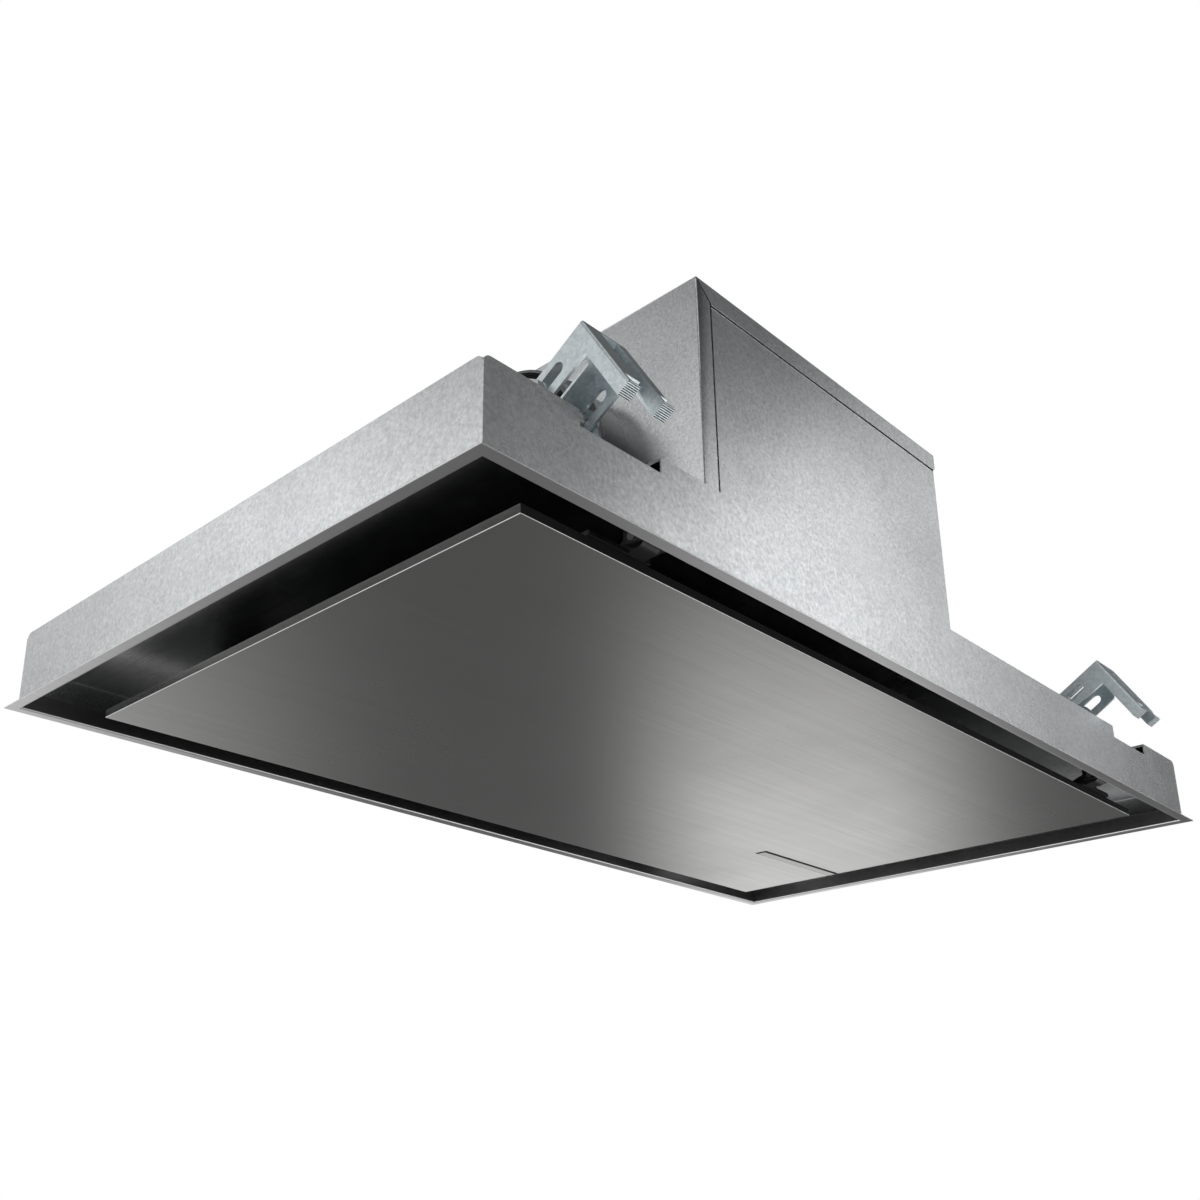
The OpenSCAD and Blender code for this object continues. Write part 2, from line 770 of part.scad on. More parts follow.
module box_lid() {
    rim_z = box_top - rim_h;
    right = box_r + rim_over;
    back = box_b + rim_over;
    slit = 0.8;
    round_r = 3;
    color("silver") {
        difference() {
            span([box_l, box_f, lid_z], [right, back, box_top]);
            lid_places() screw_hole(2 * sheet_t);
        }
        translate([0, front_y, 0]) rotate([90, 0, 0]) linear_extrude(sheet_t) difference() {
            polygon([[box_l + slit, box_top], [box_l + rim_h + slit, rim_z], [right, rim_z], [right, box_top]]);
            translate([right, rim_z]) mirror([0, 1]) corner_cut(round_r);
        }
        span([right - sheet_t, box_f, rim_z + round_r], [right, back, box_top]);
        span([box_l, back - sheet_t, rim_z], [right, back, box_top]);
    }
}

// Puts a round part at the collar's axis, with its first end at the wall's inner face and its height outwards
module at_collar() {
    translate([wall_in, collar_y, collar_z]) rotate([0, -90, 0]) children();
}

module collar_base() {
    color("dimgray") at_collar() difference() {
        union() {
            translate([0, 0, -collar_flange_t]) cylinder(r = collar_flange_r, h = collar_flange_t);
            cylinder(r = collar_r, h = base_l);
            translate([0, 0, base_l - rib_t]) cylinder(r = rib_r, h = rib_t);
        }
        translate([0, 0, -collar_flange_t - eps]) cylinder(r = base_bore, h = base_l + collar_flange_t + 2 * eps);
    }
}

module duct_collar() {
    pin_at = wall_in - flap_x;
    stop_at = pin_at - flap_t / 2 - slide_c - stop_t;
    color("dimgray") at_collar() difference() {
        union() {
            translate([0, 0, -collar_flange_t]) ring(base_bore - plug_c, bore_r, base_l + collar_flange_t);
            translate([0, 0, base_l]) ring(spigot_r, bore_r, spigot_l);
            translate([0, 0, stop_at]) ring(bore_r + eps, bore_r - stop_w, stop_t);
        }
        translate([0, 0, pin_at]) rotate([0, 90, 0]) translate([0, 0, -collar_r - eps])
            cylinder(r = flap_pin_r, h = 2 * collar_r + 2 * eps, $fn = 32);
    }
}

// Knuckle stretches of the flap whose knuckles are in the middle, or at the two ends
function knuckles(middle) = middle ? [[-knuckle_mid, knuckle_mid]]
    : [[-knuckle_end, -knuckle_mid - 1], [knuckle_mid + 1, knuckle_end]];

// Half disc that closes one half of the collar. Side -1 is the front half and 1 the back half.
module damper_flap(side) {
    middle = side > 0;
    seam = 0.4;
    clear = flap_knuckle_r + 0.8;
    color("black") translate([flap_x, collar_y, collar_z]) difference() {
        union() {
            difference() {
                rotate([0, 90, 0]) translate([0, 0, -flap_t / 2]) cylinder(r = flap_r, h = flap_t);
                translate([0, -side * (flap_r - seam), 0]) cube([8 * flap_t, 2 * flap_r, 3 * flap_r], center = true);
                for (k = knuckles(!middle))
                    span([-2 * flap_t, -clear, k[0] - 1], [2 * flap_t, clear, k[1] + 1]);
                for (z = [-flap_r - 1, knuckle_end + 1])
                    span([-2 * flap_t, -clear, z], [2 * flap_t, clear, z + flap_r - knuckle_end]);
            }
            for (k = knuckles(middle))
                translate([0, 0, k[0]]) cylinder(r = flap_knuckle_r, h = k[1] - k[0]);
        }
        translate([0, 0, -2 * flap_r]) cylinder(r = flap_pin_r + run_c, h = 4 * flap_r);
    }
}

module damper_pin() {
    half = base_bore - 2 * eps;
    color("silver") translate([flap_x, collar_y, collar_z - half]) cylinder(r = flap_pin_r, h = 2 * half, $fn = 32);
}

module fan_tray() {
    half_x = -scroll_open;
    half_y = box_d / 2 - sheet_t - tray_gap;
    color("lightgray") difference() {
        span([-half_x, -half_y, deck_top], [half_x, half_y, tray_top]);
        span([-half_x + tray_t, -half_y - eps, 0], [half_x - tray_t, half_y + eps, tray_top - tray_t]);
        translate([fan_x, fan_y, 0]) cylinder(r = inlet_r + 2 + inlet_c, h = 2 * tray_top);
    }
}

// Spiral outline of the fan housing with its outlet to the left, grown outwards by a wall
function scroll_points(grow) = concat(
    [for (i = [0:26])
        let (a = cut_angle - i * 10)
        let (r = scroll_r0 + (scroll_r1 - scroll_r0) * i / 26 + grow)
        [fan_x + r * cos(a), fan_y + r * sin(a)]],
    [[scroll_open, outlet_low - grow], [scroll_open, collar_y + outlet_half + grow]]
);

module scroll_base() {
    color("slategray") difference() {
        translate([0, 0, tray_top]) linear_extrude(scroll_t) polygon(scroll_points(scroll_t));
        translate([fan_x, fan_y, 0]) cylinder(r = inlet_r + 2 + inlet_c, h = 2 * tray_top);
    }
}

module scroll_wall() {
    z = tray_top + scroll_t;
    color("slategray") difference() {
        translate([0, 0, z]) linear_extrude(scroll_h - 2 * scroll_t) polygon(scroll_points(scroll_t));
        translate([0, 0, z - eps]) linear_extrude(scroll_h) polygon(scroll_points(0));
        span([scroll_open - eps, outlet_low, z - eps], [scroll_open + eps, collar_y + outlet_half, scroll_top]);
    }
}

module scroll_cover() {
    color("slategray") difference() {
        translate([0, 0, scroll_top - scroll_t]) linear_extrude(scroll_t) polygon(scroll_points(scroll_t));
        translate([fan_x, fan_y, 0]) cylinder(r = motor_r + inlet_c, h = 2 * scroll_top);
        motor_places(scroll_top) screw_hole(2 * scroll_t);
    }
}

module inlet_ring() {
    lip = 1.5;
    color("black") translate([fan_x, fan_y, 0]) {
        translate([0, 0, tray_top - tray_t - lip]) ring(inlet_r + 14, inlet_r, lip);
        translate([0, 0, tray_top - tray_t - lip]) ring(inlet_r + 2, inlet_r, lip + tray_t + 8);
    }
}

// One of the two end rings that the blades are crimped between
module end_ring(z) {
    color("dimgray") translate([fan_x, fan_y, z]) ring(imp_r, imp_r - blade_l - 2, disc_t);
}

module impeller_ring() {
    end_ring(imp_z0);
}

module impeller() {
    blade_z0 = imp_z0 + disc_t + blade_c;
    blade_z1 = imp_z1 - disc_t - blade_c;
    end_ring(imp_z1 - disc_t);
    color("dimgray") translate([fan_x, fan_y, 0]) {
        for (i = [0:imp_blades - 1])
            rotate([0, 0, i * 360 / imp_blades]) translate([imp_r - 1, 0, 0]) rotate([0, 0, 35])
                span([-blade_l, -blade_t / 2, blade_z0], [0, blade_t / 2, blade_z1]);
    }
}

module impeller_hub() {
    color("gray") translate([fan_x, fan_y, 0]) {
        translate([0, 0, imp_z1]) ring(imp_r - 2, shaft_r, disc_t);
        translate([0, 0, imp_z1 - hub_h]) ring(hub_r, shaft_r, hub_h + disc_t);
    }
}

module motor_case() {
    color("gainsboro") translate([fan_x, fan_y, 0]) difference() {
        union() {
            translate([0, 0, motor_z0]) cylinder(r = motor_r, h = motor_h);
            translate([0, 0, scroll_top]) cylinder(r = motor_flange_r, h = motor_flange_t);
        }
        translate([0, 0, motor_z0 + bearing_h]) cylinder(r = motor_r - motor_wall, h = motor_h - 2 * bearing_h);
        translate([0, 0, motor_z0 - eps]) cylinder(r = bearing_r, h = motor_h + 2 * eps);
        translate([-fan_x, -fan_y, 0]) motor_places(scroll_top) screw_hole(2 * motor_flange_t);
    }
}

module motor_stator() {
    color("peru") translate([fan_x, fan_y, motor_z0 + bearing_h + stator_gap])
        ring(motor_r - motor_wall, stator_in, motor_h - 2 * bearing_h - 2 * stator_gap);
}

module motor_rotor() {
    color("gray") translate([fan_x, fan_y, motor_z0 + bearing_h + stator_gap])
        ring(rotor_r, shaft_r, motor_h - 2 * bearing_h - 2 * stator_gap);
}

module motor_shaft() {
    color("silver") translate([fan_x, fan_y, imp_z1 - hub_h - 2])
        cylinder(r = shaft_r, h = motor_z1 - imp_z1 + hub_h + 2);
}

module motor_bearings() {
    color("silver") for (z = [motor_z0, motor_z1 - bearing_h])
        translate([fan_x, fan_y, z]) ring(bearing_r, shaft_r + run_c, bearing_h);
}

// Puts a part at the control box's lower front left corner
module at_ctrl() {
    translate([ctrl_x1 - ctrl_l, ctrl_y0, tray_top]) children();
}

module control_box() {
    color("whitesmoke") at_ctrl() {
        difference() {
            cube([ctrl_l, ctrl_w, ctrl_h]);
            translate([ctrl_t, ctrl_t, ctrl_t]) cube([ctrl_l - 2 * ctrl_t, ctrl_w - 2 * ctrl_t, ctrl_h]);
            translate([ctrl_l, ctrl_w / 2, ctrl_h - 15]) rod_x(5, 6 * ctrl_t);
        }
        for (x = [8, ctrl_l - 8])
            for (y = [8, ctrl_w - 8])
                translate([x, y, 0]) cylinder(r = 3, h = ctrl_t + board_z);
    }
}

module control_lid() {
    color("whitesmoke") at_ctrl() translate([0, 0, ctrl_h]) cube([ctrl_l, ctrl_w, ctrl_lid_t]);
}

module control_board() {
    z = ctrl_t + board_z;
    color("darkgreen") at_ctrl() {
        translate([board_edge, board_edge, z]) cube([ctrl_l - 2 * board_edge, ctrl_w - 2 * board_edge, board_t]);
        translate([coil_x, part_y, z]) cube(coil);
        translate([relay_x, part_y, z]) cube(relay);
        translate([block_x, part_y, z]) cube(block);
    }
}

module capacitor() {
    color("whitesmoke") translate([cap_x, ctrl_y0 + cap_r + 2, tray_top]) {
        cylinder(r = cap_r, h = cap_h);
        for (x = [-6, 6])
            translate([x, 0, cap_h - eps]) translate([-1, -3, 0]) cube([2, 6, 8]);
    }
}

module cable_gland() {
    color("black") translate([box_r, gland_y, gland_z]) rotate([0, 90, 0]) difference() {
        union() {
            translate([0, 0, -gland_in]) cylinder(r = gland_body_r, h = gland_in + gland_out);
            cylinder(r = gland_body_r + 5, h = 6, $fn = 6);
            translate([0, 0, gland_out - 8]) cylinder(r = gland_body_r + 1.5, h = 8);
            translate([0, 0, -sheet_t - 5]) cylinder(r = gland_body_r + 4, h = 5, $fn = 6);
        }
        translate([0, 0, -gland_in - eps]) cylinder(r = gland_r, h = gland_in + gland_out + 2 * eps);
    }
}

// Places of the screws that hold the motor on the scroll's cover
module motor_places(z) {
    for (a = [90, 210, 330])
        translate([fan_x, fan_y, z]) rotate([0, 0, a]) translate([motor_r + 6, 0, 0]) children();
}

module sheet_screws() {
    color("silver") {
        deck_places() screw();
        lid_places() screw();
        every_clamp() foot_places(carrier_t - bolt_up) screw();
        motor_places(scroll_top + motor_flange_t) screw();
    }
}

flange_frame();
housing_shell();
top_deck();
intake_liner();
clamp_carrier(-1, false);  // clamp_carrier_front_left
clamp_carrier(1, false);  // clamp_carrier_front_right
clamp_carrier(-1, true);  // clamp_carrier_back_left
clamp_carrier(1, true);  // clamp_carrier_back_right
clamp_bracket(-1, false);  // clamp_bracket_front_left
clamp_bracket(1, false);  // clamp_bracket_front_right
clamp_bracket(-1, true);  // clamp_bracket_back_left
clamp_bracket(1, true);  // clamp_bracket_back_right
clamp_bolts();
clamp_nuts();
cover_panel();
panel_backing();
badge_strip();
hinge_bracket(-1);  // hinge_bracket_left
hinge_bracket(1);  // hinge_bracket_right
hinge_arm(-1);  // hinge_arm_left
hinge_arm(1);  // hinge_arm_right
hinge_pins();
panel_catch(-1);  // panel_catch_left
panel_catch(1);  // panel_catch_right
catch_plates();
filter_frame(-1);  // filter_frame_left
filter_frame(1);  // filter_frame_right
filter_mesh(-1);  // filter_mesh_left
filter_mesh(1);  // filter_mesh_right
filter_latch(-1);  // filter_latch_left
filter_latch(1);  // filter_latch_right
box_left();
box_right();
box_front();
box_back();
box_lid();
collar_base();
duct_collar();
damper_flap(-1);  // damper_flap_front
damper_flap(1);  // damper_flap_back
damper_pin();
fan_tray();
scroll_base();
scroll_wall();
scroll_cover();
inlet_ring();
impeller();
impeller_ring();
impeller_hub();
motor_case();
motor_stator();
motor_rotor();
motor_shaft();
motor_bearings();
control_box();
control_lid();
control_board();
capacitor();
cable_gland();
sheet_screws();
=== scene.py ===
"""Looks for the ceiling range hood, built round its packed CAD frame.

Every size is in metres, in the CAD model's own frame: +X along the long side,
+Y to the back, +Z up, with the origin in the middle of the flange's underside.
"""

import json
import math
from functools import cache

import bmesh
import bpy
from bpy.props import FloatProperty, FloatVectorProperty, IntProperty, PointerProperty
from bpy.types import NodeSocket, Operator, Panel, PropertyGroup
from mathutils import Matrix, Vector

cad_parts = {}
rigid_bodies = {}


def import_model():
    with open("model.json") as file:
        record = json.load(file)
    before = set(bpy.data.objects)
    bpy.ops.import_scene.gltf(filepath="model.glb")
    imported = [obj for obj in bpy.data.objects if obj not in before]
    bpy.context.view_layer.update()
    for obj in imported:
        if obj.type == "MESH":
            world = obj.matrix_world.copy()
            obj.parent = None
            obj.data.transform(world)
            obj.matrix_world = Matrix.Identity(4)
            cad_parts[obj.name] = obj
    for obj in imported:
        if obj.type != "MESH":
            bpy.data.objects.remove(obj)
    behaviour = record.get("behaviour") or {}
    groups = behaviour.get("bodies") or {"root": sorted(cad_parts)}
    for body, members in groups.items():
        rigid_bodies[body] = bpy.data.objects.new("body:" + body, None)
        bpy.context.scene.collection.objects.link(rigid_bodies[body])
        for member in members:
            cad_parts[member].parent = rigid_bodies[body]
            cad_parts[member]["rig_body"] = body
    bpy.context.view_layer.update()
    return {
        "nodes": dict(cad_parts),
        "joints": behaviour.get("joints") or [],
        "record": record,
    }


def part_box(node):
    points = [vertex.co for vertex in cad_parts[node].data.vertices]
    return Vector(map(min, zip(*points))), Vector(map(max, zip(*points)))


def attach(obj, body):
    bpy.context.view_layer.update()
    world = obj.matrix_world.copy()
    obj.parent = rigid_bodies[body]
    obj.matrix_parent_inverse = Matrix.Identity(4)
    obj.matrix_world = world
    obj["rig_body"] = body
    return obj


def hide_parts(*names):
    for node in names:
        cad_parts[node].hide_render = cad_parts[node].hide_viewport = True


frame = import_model()
CAD = frame["nodes"]
SLOTS = {row["node"]: row["material_slot"] for row in frame["record"]["subparts"]}
PIVOTS = {row["name"]: Vector(row["pos_m"]) for row in frame["joints"] if "pos_m" in row}

bl_info = {
    "name": "Ceiling Hood Looks",
    "version": (1, 0, 0),
    "blender": (4, 5, 0),
    "location": "View3D > Sidebar > Hood",
    "description": "Builds the visible pieces, finishes and stage of the ceiling range hood",
    "category": "Object",
}

MM = 0.001
FLAT_ANGLE = math.radians(0.8)
SHARP_ANGLE = math.radians(25)
SMOOTH_ANGLE = math.radians(40)
SHORT_EDGE = 1.6 * MM
PLANE_REACH = 0.02 * MM
SAME_CORNER = 0.002 * MM
TOUCHING = 1e-7
LATHE_STEPS = 128
WHITE = (1.0, 1.0, 1.0, 1.0)


# Meshes


def solid_copy(node):
    """The CAD node's triangles, merged into whole flat faces."""
    bm = bmesh.new()
    bm.from_mesh(CAD[node].data)
    bmesh.ops.remove_doubles(bm, verts=bm.verts, dist=SAME_CORNER)
    bmesh.ops.dissolve_limit(
        bm, angle_limit=FLAT_ANGLE, verts=bm.verts, edges=bm.edges, delimit=set()
    )
    bm.normal_update()
    return bm


def is_fold(edge):
    """Whether two whole faces meet at an outer corner here."""
    if len(edge.link_faces) != 2 or edge.calc_length() < SHORT_EDGE:
        return False
    return edge.is_convex and edge.calc_face_angle(0.0) > SHARP_ANGLE


def round_edges(bm, radius, steps, test=None):
    """Rounds the outer corners that pass the test."""
    edges = [e for e in bm.edges if is_fold(e) and (test is None or test(e))]
    if edges:
        bmesh.ops.bevel(
            bm, geom=edges, offset=radius, offset_type="OFFSET", segments=steps,
            profile=0.5, affect="EDGES", clamp_overlap=True, loop_slide=True,
        )
        bm.normal_update()


def rounded(node, folds=(), edge=0.2 * MM):
    """A copy of the node: each fold is (radius, steps, test), then all edges are softened."""
    bm = solid_copy(node)
    for fold in folds:
        round_edges(bm, *fold)
    if edge:
        round_edges(bm, edge, 2)
    return bm


def on_plane(axis, *places):
    """A test for edges that lie in a plane across one axis, at any of the places."""
    def test(edge):
        return any(
            all(abs(v.co[axis] - place) < PLANE_REACH for v in edge.verts) for place in places
        )
    return test


def both(*tests):
    """A test for edges that pass all of the tests."""
    return lambda edge: all(test(edge) for test in tests)


def either(*tests):
    """A test for edges that pass any of the tests."""
    return lambda edge: any(test(edge) for test in tests)


def longer_than(reach):
    """A test that leaves out the short edges of notches, slots and sheet ends."""
    return lambda edge: edge.calc_length() > reach


def tray_folds(low, high, level, along, upright):
    """A test for the folds of a tray: round its sides at one level, and up its corners."""
    sides = on_plane(0, low.x, high.x), on_plane(1, low.y, high.y)
    rim = both(on_plane(2, level), either(*sides), longer_than(along))
    return either(rim, both(*sides, longer_than(upright)))


def mesh_from(bm, name):
    """A mesh of the bmesh, which is freed."""
    mesh = bpy.data.meshes.new(name)
    bm.to_mesh(mesh)
    bm.free()
    return mesh


def linked(name, data):
    """A new object in the scene."""
    thing = bpy.data.objects.new(name, data)
    bpy.context.scene.collection.objects.link(thing)
    return thing


def applied(thing, name):
    """The object's mesh as its modifiers make it. They are gone afterwards."""
    bpy.context.view_layer.update()
    graph = bpy.context.evaluated_depsgraph_get()
    mesh = bpy.data.meshes.new_from_object(thing.evaluated_get(graph))
    mesh.name = name
    thing.modifiers.clear()
    return mesh


def piece_from(mesh, name, finish):
    """A finished object at the origin, with even shading over its flat faces."""
    mesh.polygons.foreach_set("use_smooth", [True] * len(mesh.polygons))
    mesh.set_sharp_from_angle(angle=SMOOTH_ANGLE)
    mesh.materials.clear()
    mesh.materials.append(finish)
    piece = linked(name, mesh)
    even = piece.modifiers.new("Even faces", "WEIGHTED_NORMAL")
    even.keep_sharp = True
    even.weight = 90
    piece.data = applied(piece, name)
    return piece


def ride_with(piece, node):
    """Puts the piece on the node's body."""
    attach(piece, CAD[node]["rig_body"])


def stand_for(shape, name, node, finish=None):
    """A piece made of a bmesh or a mesh, which stands for the node."""
    mesh = mesh_from(shape, name) if isinstance(shape, bmesh.types.BMesh) else shape
    piece = piece_from(mesh, name, finish or finish_for(node))
    ride_with(piece, node)
    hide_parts(node)
    return piece


def dress(node, name, folds=(), edge=0.2 * MM, finish=None):
    """Stands a copy of the node, with rounded folds and softened edges, for the node."""
    return stand_for(rounded(node, folds, edge), name, node, finish)


def paint_shade(piece, test, key="joint"):
    """Gives the faces that pass the test a second, darker finish: painted shade where shade or a
    dark reflection falls.
    """
    piece.data.materials.append(finish(key))
    for face in piece.data.polygons:
        if test(face.center, face.normal):
            face.material_index = 1


def keep(node, finish=None):
    """Leaves the CAD node showing, with its own finish."""
    part = CAD[node]
    finish = finish or finish_for(node)
    if not part.material_slots:
        part.data.materials.append(finish)
    for slot in part.material_slots:
        slot.material = finish


def filleted(points, steps=4):
    """Points of a closed outline whose corners (x, y, radius) are rounded."""
    out = []
    count = len(points)
    for i, (x, y, radius) in enumerate(points):
        here = Vector((x, y))
        if not radius:
            out.append(here)
            continue
        back = (Vector(points[i - 1][:2]) - here).normalized()
        ahead = (Vector(points[(i + 1) % count][:2]) - here).normalized()
        half = back.angle(ahead) / 2
        run = radius / math.tan(half)
        centre = here + (back + ahead).normalized() * (radius / math.sin(half))
        first = here + back * run - centre
        last = here + ahead * run - centre
        turn = first.angle_signed(last)
        for step in range(steps + 1):
            spin = Matrix.Rotation(-turn * step / steps, 2)
            out.append(centre + spin @ first)
    return out


def lathe(outline, place, steps=LATHE_STEPS):
    """Turns a closed outline of (radius, height) points round its height axis."""
    bm = bmesh.new()
    rings = []
    for step in range(steps):
        angle = 2 * math.pi * step / steps
        c, s = math.cos(angle), math.sin(angle)
        rings.append([bm.verts.new(place @ Vector((p[0] * c, p[0] * s, p[1]))) for p in outline])
    count = len(outline)
    for step in range(steps):
        a, b = rings[step], rings[(step + 1) % steps]
        for i in range(count):
            j = (i + 1) % count
            bm.faces.new((a[i], b[i], b[j], a[j]))
    bmesh.ops.remove_doubles(bm, verts=bm.verts, dist=TOUCHING)
    bmesh.ops.recalc_face_normals(bm, faces=bm.faces)
    return bm


def islands(node):
    """Lowest and highest corner of each separate solid of a CAD node."""
    bm = solid_copy(node)
    left = set(bm.verts)
    boxes = []
    while left:
        solid = [left.pop()]
        for vert in solid:  # which grows by the neighbours that are found
            near = {edge.other_vert(vert) for edge in vert.link_edges} & left
            left -= near
            solid.extend(near)
        boxes.append([
            Vector([limit(vert.co[k] for vert in solid) for k in range(3)])
            for limit in (min, max)
        ])
    bm.free()
    boxes.sort(key=lambda b: tuple(round(v, 5) for v in b[0]))
    return boxes


# Node trees

SOCKETS = {float: "Float", int: "Int", tuple: "Vector"}


def add(tree, kind, inputs=None, **settings):
    """Adds a node, sets its options and fills its inputs with values or links."""
    node = tree.nodes.new(kind)
    for key, value in settings.items():
        setattr(node, key, value)
    for key, value in (inputs or {}).items():
        if isinstance(value, NodeSocket):
            tree.links.new(value, node.inputs[key])
        else:
            node.inputs[key].default_value = value
    return node


def output(tree, kind, inputs=None, **settings):
    """Adds a node in the same way and gives its first output."""
    return add(tree, kind, inputs, **settings).outputs[0]


def new_group(name, kind, inputs, outputs):
    """A tree with its group inputs and outputs. An input without a default names its kind."""
    tree = bpy.data.node_groups.new(name, kind)
    for label, default in inputs.items():
        named = isinstance(default, str)
        socket = tree.interface.new_socket(
            label, in_out="INPUT",
            socket_type="NodeSocket" + (default if named else SOCKETS[type(default)]),
        )
        if not named:
            socket.default_value = default
    for label, socket_kind in outputs.items():
        tree.interface.new_socket(
            label, in_out="OUTPUT", socket_type="NodeSocket" + socket_kind
        )
    given = tree.nodes.new("NodeGroupInput").outputs
    return tree, given, tree.nodes.new("NodeGroupOutput").inputs


def math_node(tree, operation, a, b=0.0):
    return output(tree, "ShaderNodeMath", {0: a, 1: b}, operation=operation)


def vector_node(tree, operation, a, b):
    return output(tree, "ShaderNodeVectorMath", {0: a, 1: b}, operation=operation)


def scaled(tree, vector, factor):
    return output(tree, "ShaderNodeVectorMath", {0: vector, "Scale": factor}, operation="SCALE")


def combined(tree, **parts):
    return output(tree, "ShaderNodeCombineXYZ", parts)


def noise(tree, vector, scale, detail=3.0, roughness=0.55):
    """A noise texture's outputs: its value and its colour."""
    return add(
        tree, "ShaderNodeTexNoise",
        {"Vector": vector, "Scale": scale, "Detail": detail, "Roughness": roughness},
    ).outputs


def ramp(tree, value, low, high, out_low=0.0, out_high=1.0, smooth=False):
    """Maps low to high onto out_low to out_high."""
    return output(
        tree, "ShaderNodeMapRange",
        {"Value": value, "From Min": low, "From Max": high, "To Min": out_low, "To Max": out_high},
        interpolation_type="SMOOTHSTEP" if smooth else "LINEAR",
    )


def mix_colour(tree, factor, a, b):
    mixed = add(tree, "ShaderNodeMix", {0: factor, 6: rgba(a), 7: rgba(b)}, data_type="RGBA")
    return mixed.outputs[2]


def mix_value(tree, factor, a, b):
    return output(tree, "ShaderNodeMix", {0: factor, 2: a, 3: b}, data_type="FLOAT")


def rgba(colour):
    return (*colour, 1.0)


# Effects that several finishes share


@cache
def spangle_group():
    """Soft zinc crystals with a fine grain and slow clouds."""
    tree, given, end = new_group(
        "Zinc spangle", "ShaderNodeTree",
        {"Vector": "Vector", "Crystals per Metre": 230.0, "Crystal Share": 0.35},
        {"Tone": "Float", "Height": "Float"},
    )
    place = given["Vector"]
    bend = vector_node(tree, "SUBTRACT", noise(tree, place, 140.0, 2.0)[1], (0.5, 0.5, 0.5))
    cells = add(
        tree, "ShaderNodeTexVoronoi",
        {
            "Vector": vector_node(tree, "ADD", place, scaled(tree, bend, 0.009)),
            "Scale": given["Crystals per Metre"], "Randomness": 1.0,
        },
        feature="F1",
    )
    cell = output(tree, "ShaderNodeSeparateColor", {0: cells.outputs["Color"]})
    grain = noise(tree, place, 430.0, 4.0, 0.72)[0]
    cloud = noise(tree, place, 9.0, 4.0, 0.55)[0]
    soft = mix_value(tree, given["Crystal Share"], grain, cell)
    tree.links.new(mix_value(tree, 0.3, soft, cloud), end["Tone"])
    tree.links.new(noise(tree, place, 520.0, 3.0, 0.6)[0], end["Height"])
    return tree


@cache
def brushing_group():
    """Long fine scratches: the stretch gives their count per metre along each axis."""
    tree, given, end = new_group(
        "Brushed streaks", "ShaderNodeTree",
        {"Vector": "Vector", "Stretch": (14.0, 1300.0, 1300.0)},
        {"Tone": "Float", "Height": "Float"},
    )
    along = vector_node(tree, "MULTIPLY", given["Vector"], given["Stretch"])
    fine = noise(tree, along, 1.0, 3.0, 0.6)[0]
    broad = noise(tree, scaled(tree, along, 0.23), 1.0, 2.0, 0.5)[0]
    tree.links.new(mix_value(tree, 0.4, fine, broad), end["Tone"])
    tree.links.new(fine, end["Height"])
    return tree


@cache
def handling_group():
    """Faint patches left by handling, for roughness and tone."""
    tree, given, end = new_group(
        "Handling marks", "ShaderNodeTree",
        {"Vector": "Vector", "Patches per Metre": 6.0}, {"Mask": "Float"},
    )
    patches = noise(tree, given["Vector"], given["Patches per Metre"], 5.0, 0.6)[0]
    tree.links.new(ramp(tree, patches, 0.35, 0.68), end["Mask"])
    return tree


def marks(tree, place, patches):
    """The mask of the handling marks, with so many patches per metre."""
    return output(
        tree, "ShaderNodeGroup", {"Vector": place, "Patches per Metre": patches},
        node_tree=handling_group(),
    )


def worn(tree, gloss, place, patches, share):
    """The roughness with a share of the handling marks on it."""
    added = math_node(tree, "MULTIPLY", marks(tree, place, patches), share)
    return math_node(tree, "ADD", gloss, added)


def new_finish(name):
    """An empty material, its tree and its object coordinates."""
    material = bpy.data.materials.new(name)
    material.use_nodes = True
    tree = material.node_tree
    tree.nodes.clear()
    return material, tree, tree.nodes.new("ShaderNodeTexCoord").outputs["Object"]


def end_finish(material, colour, gloss, bump=None, **constants):
    """Ends a finish in its Principled shader. A bump is (height, distance, strength)."""
    tree = material.node_tree
    inputs = {"Base Color": colour, "Roughness": gloss, **constants}
    if bump:
        height, distance, strength = bump
        inputs["Normal"] = output(
            tree, "ShaderNodeBump",
            {"Height": height, "Distance": distance, "Strength": strength},
        )
    shader = output(tree, "ShaderNodeBsdfPrincipled", inputs)
    add(tree, "ShaderNodeOutputMaterial", {0: shader})
    return material


def spangled_finish(name, dark, light, rough, crystals, share):
    """Zinc-coated sheet: crystals change its tone and its gloss."""
    material, tree, place = new_finish(name)
    zinc = add(
        tree, "ShaderNodeGroup",
        {"Vector": place, "Crystals per Metre": crystals, "Crystal Share": share},
        node_tree=spangle_group(),
    ).outputs
    colour = mix_colour(tree, ramp(tree, zinc["Tone"], 0.36, 0.64), dark, light)
    gloss = ramp(tree, zinc["Tone"], 0.25, 0.75, rough + 0.012, rough - 0.012)
    gloss = worn(tree, gloss, place, 5.0, 0.05)
    return end_finish(material, colour, gloss, (zinc["Height"], 0.02 * MM, 0.12), Metallic=1.0)


def brushed_finish(name, dark, light, rough, stretch, bump=0.25):
    """Steel brushed one way: the streaks change its tone and its gloss."""
    material, tree, place = new_finish(name)
    streaks = add(
        tree, "ShaderNodeGroup", {"Vector": place, "Stretch": stretch},
        node_tree=brushing_group(),
    ).outputs
    colour = mix_colour(tree, ramp(tree, streaks["Tone"], 0.3, 0.7), dark, light)
    gloss = ramp(tree, streaks["Tone"], 0.3, 0.7, rough + 0.008, rough - 0.008)
    gloss = worn(tree, gloss, place, 4.0, 0.04)
    raised = (streaks["Height"], 0.012 * MM, bump) if bump else None
    return end_finish(material, colour, gloss, raised, Metallic=1.0)


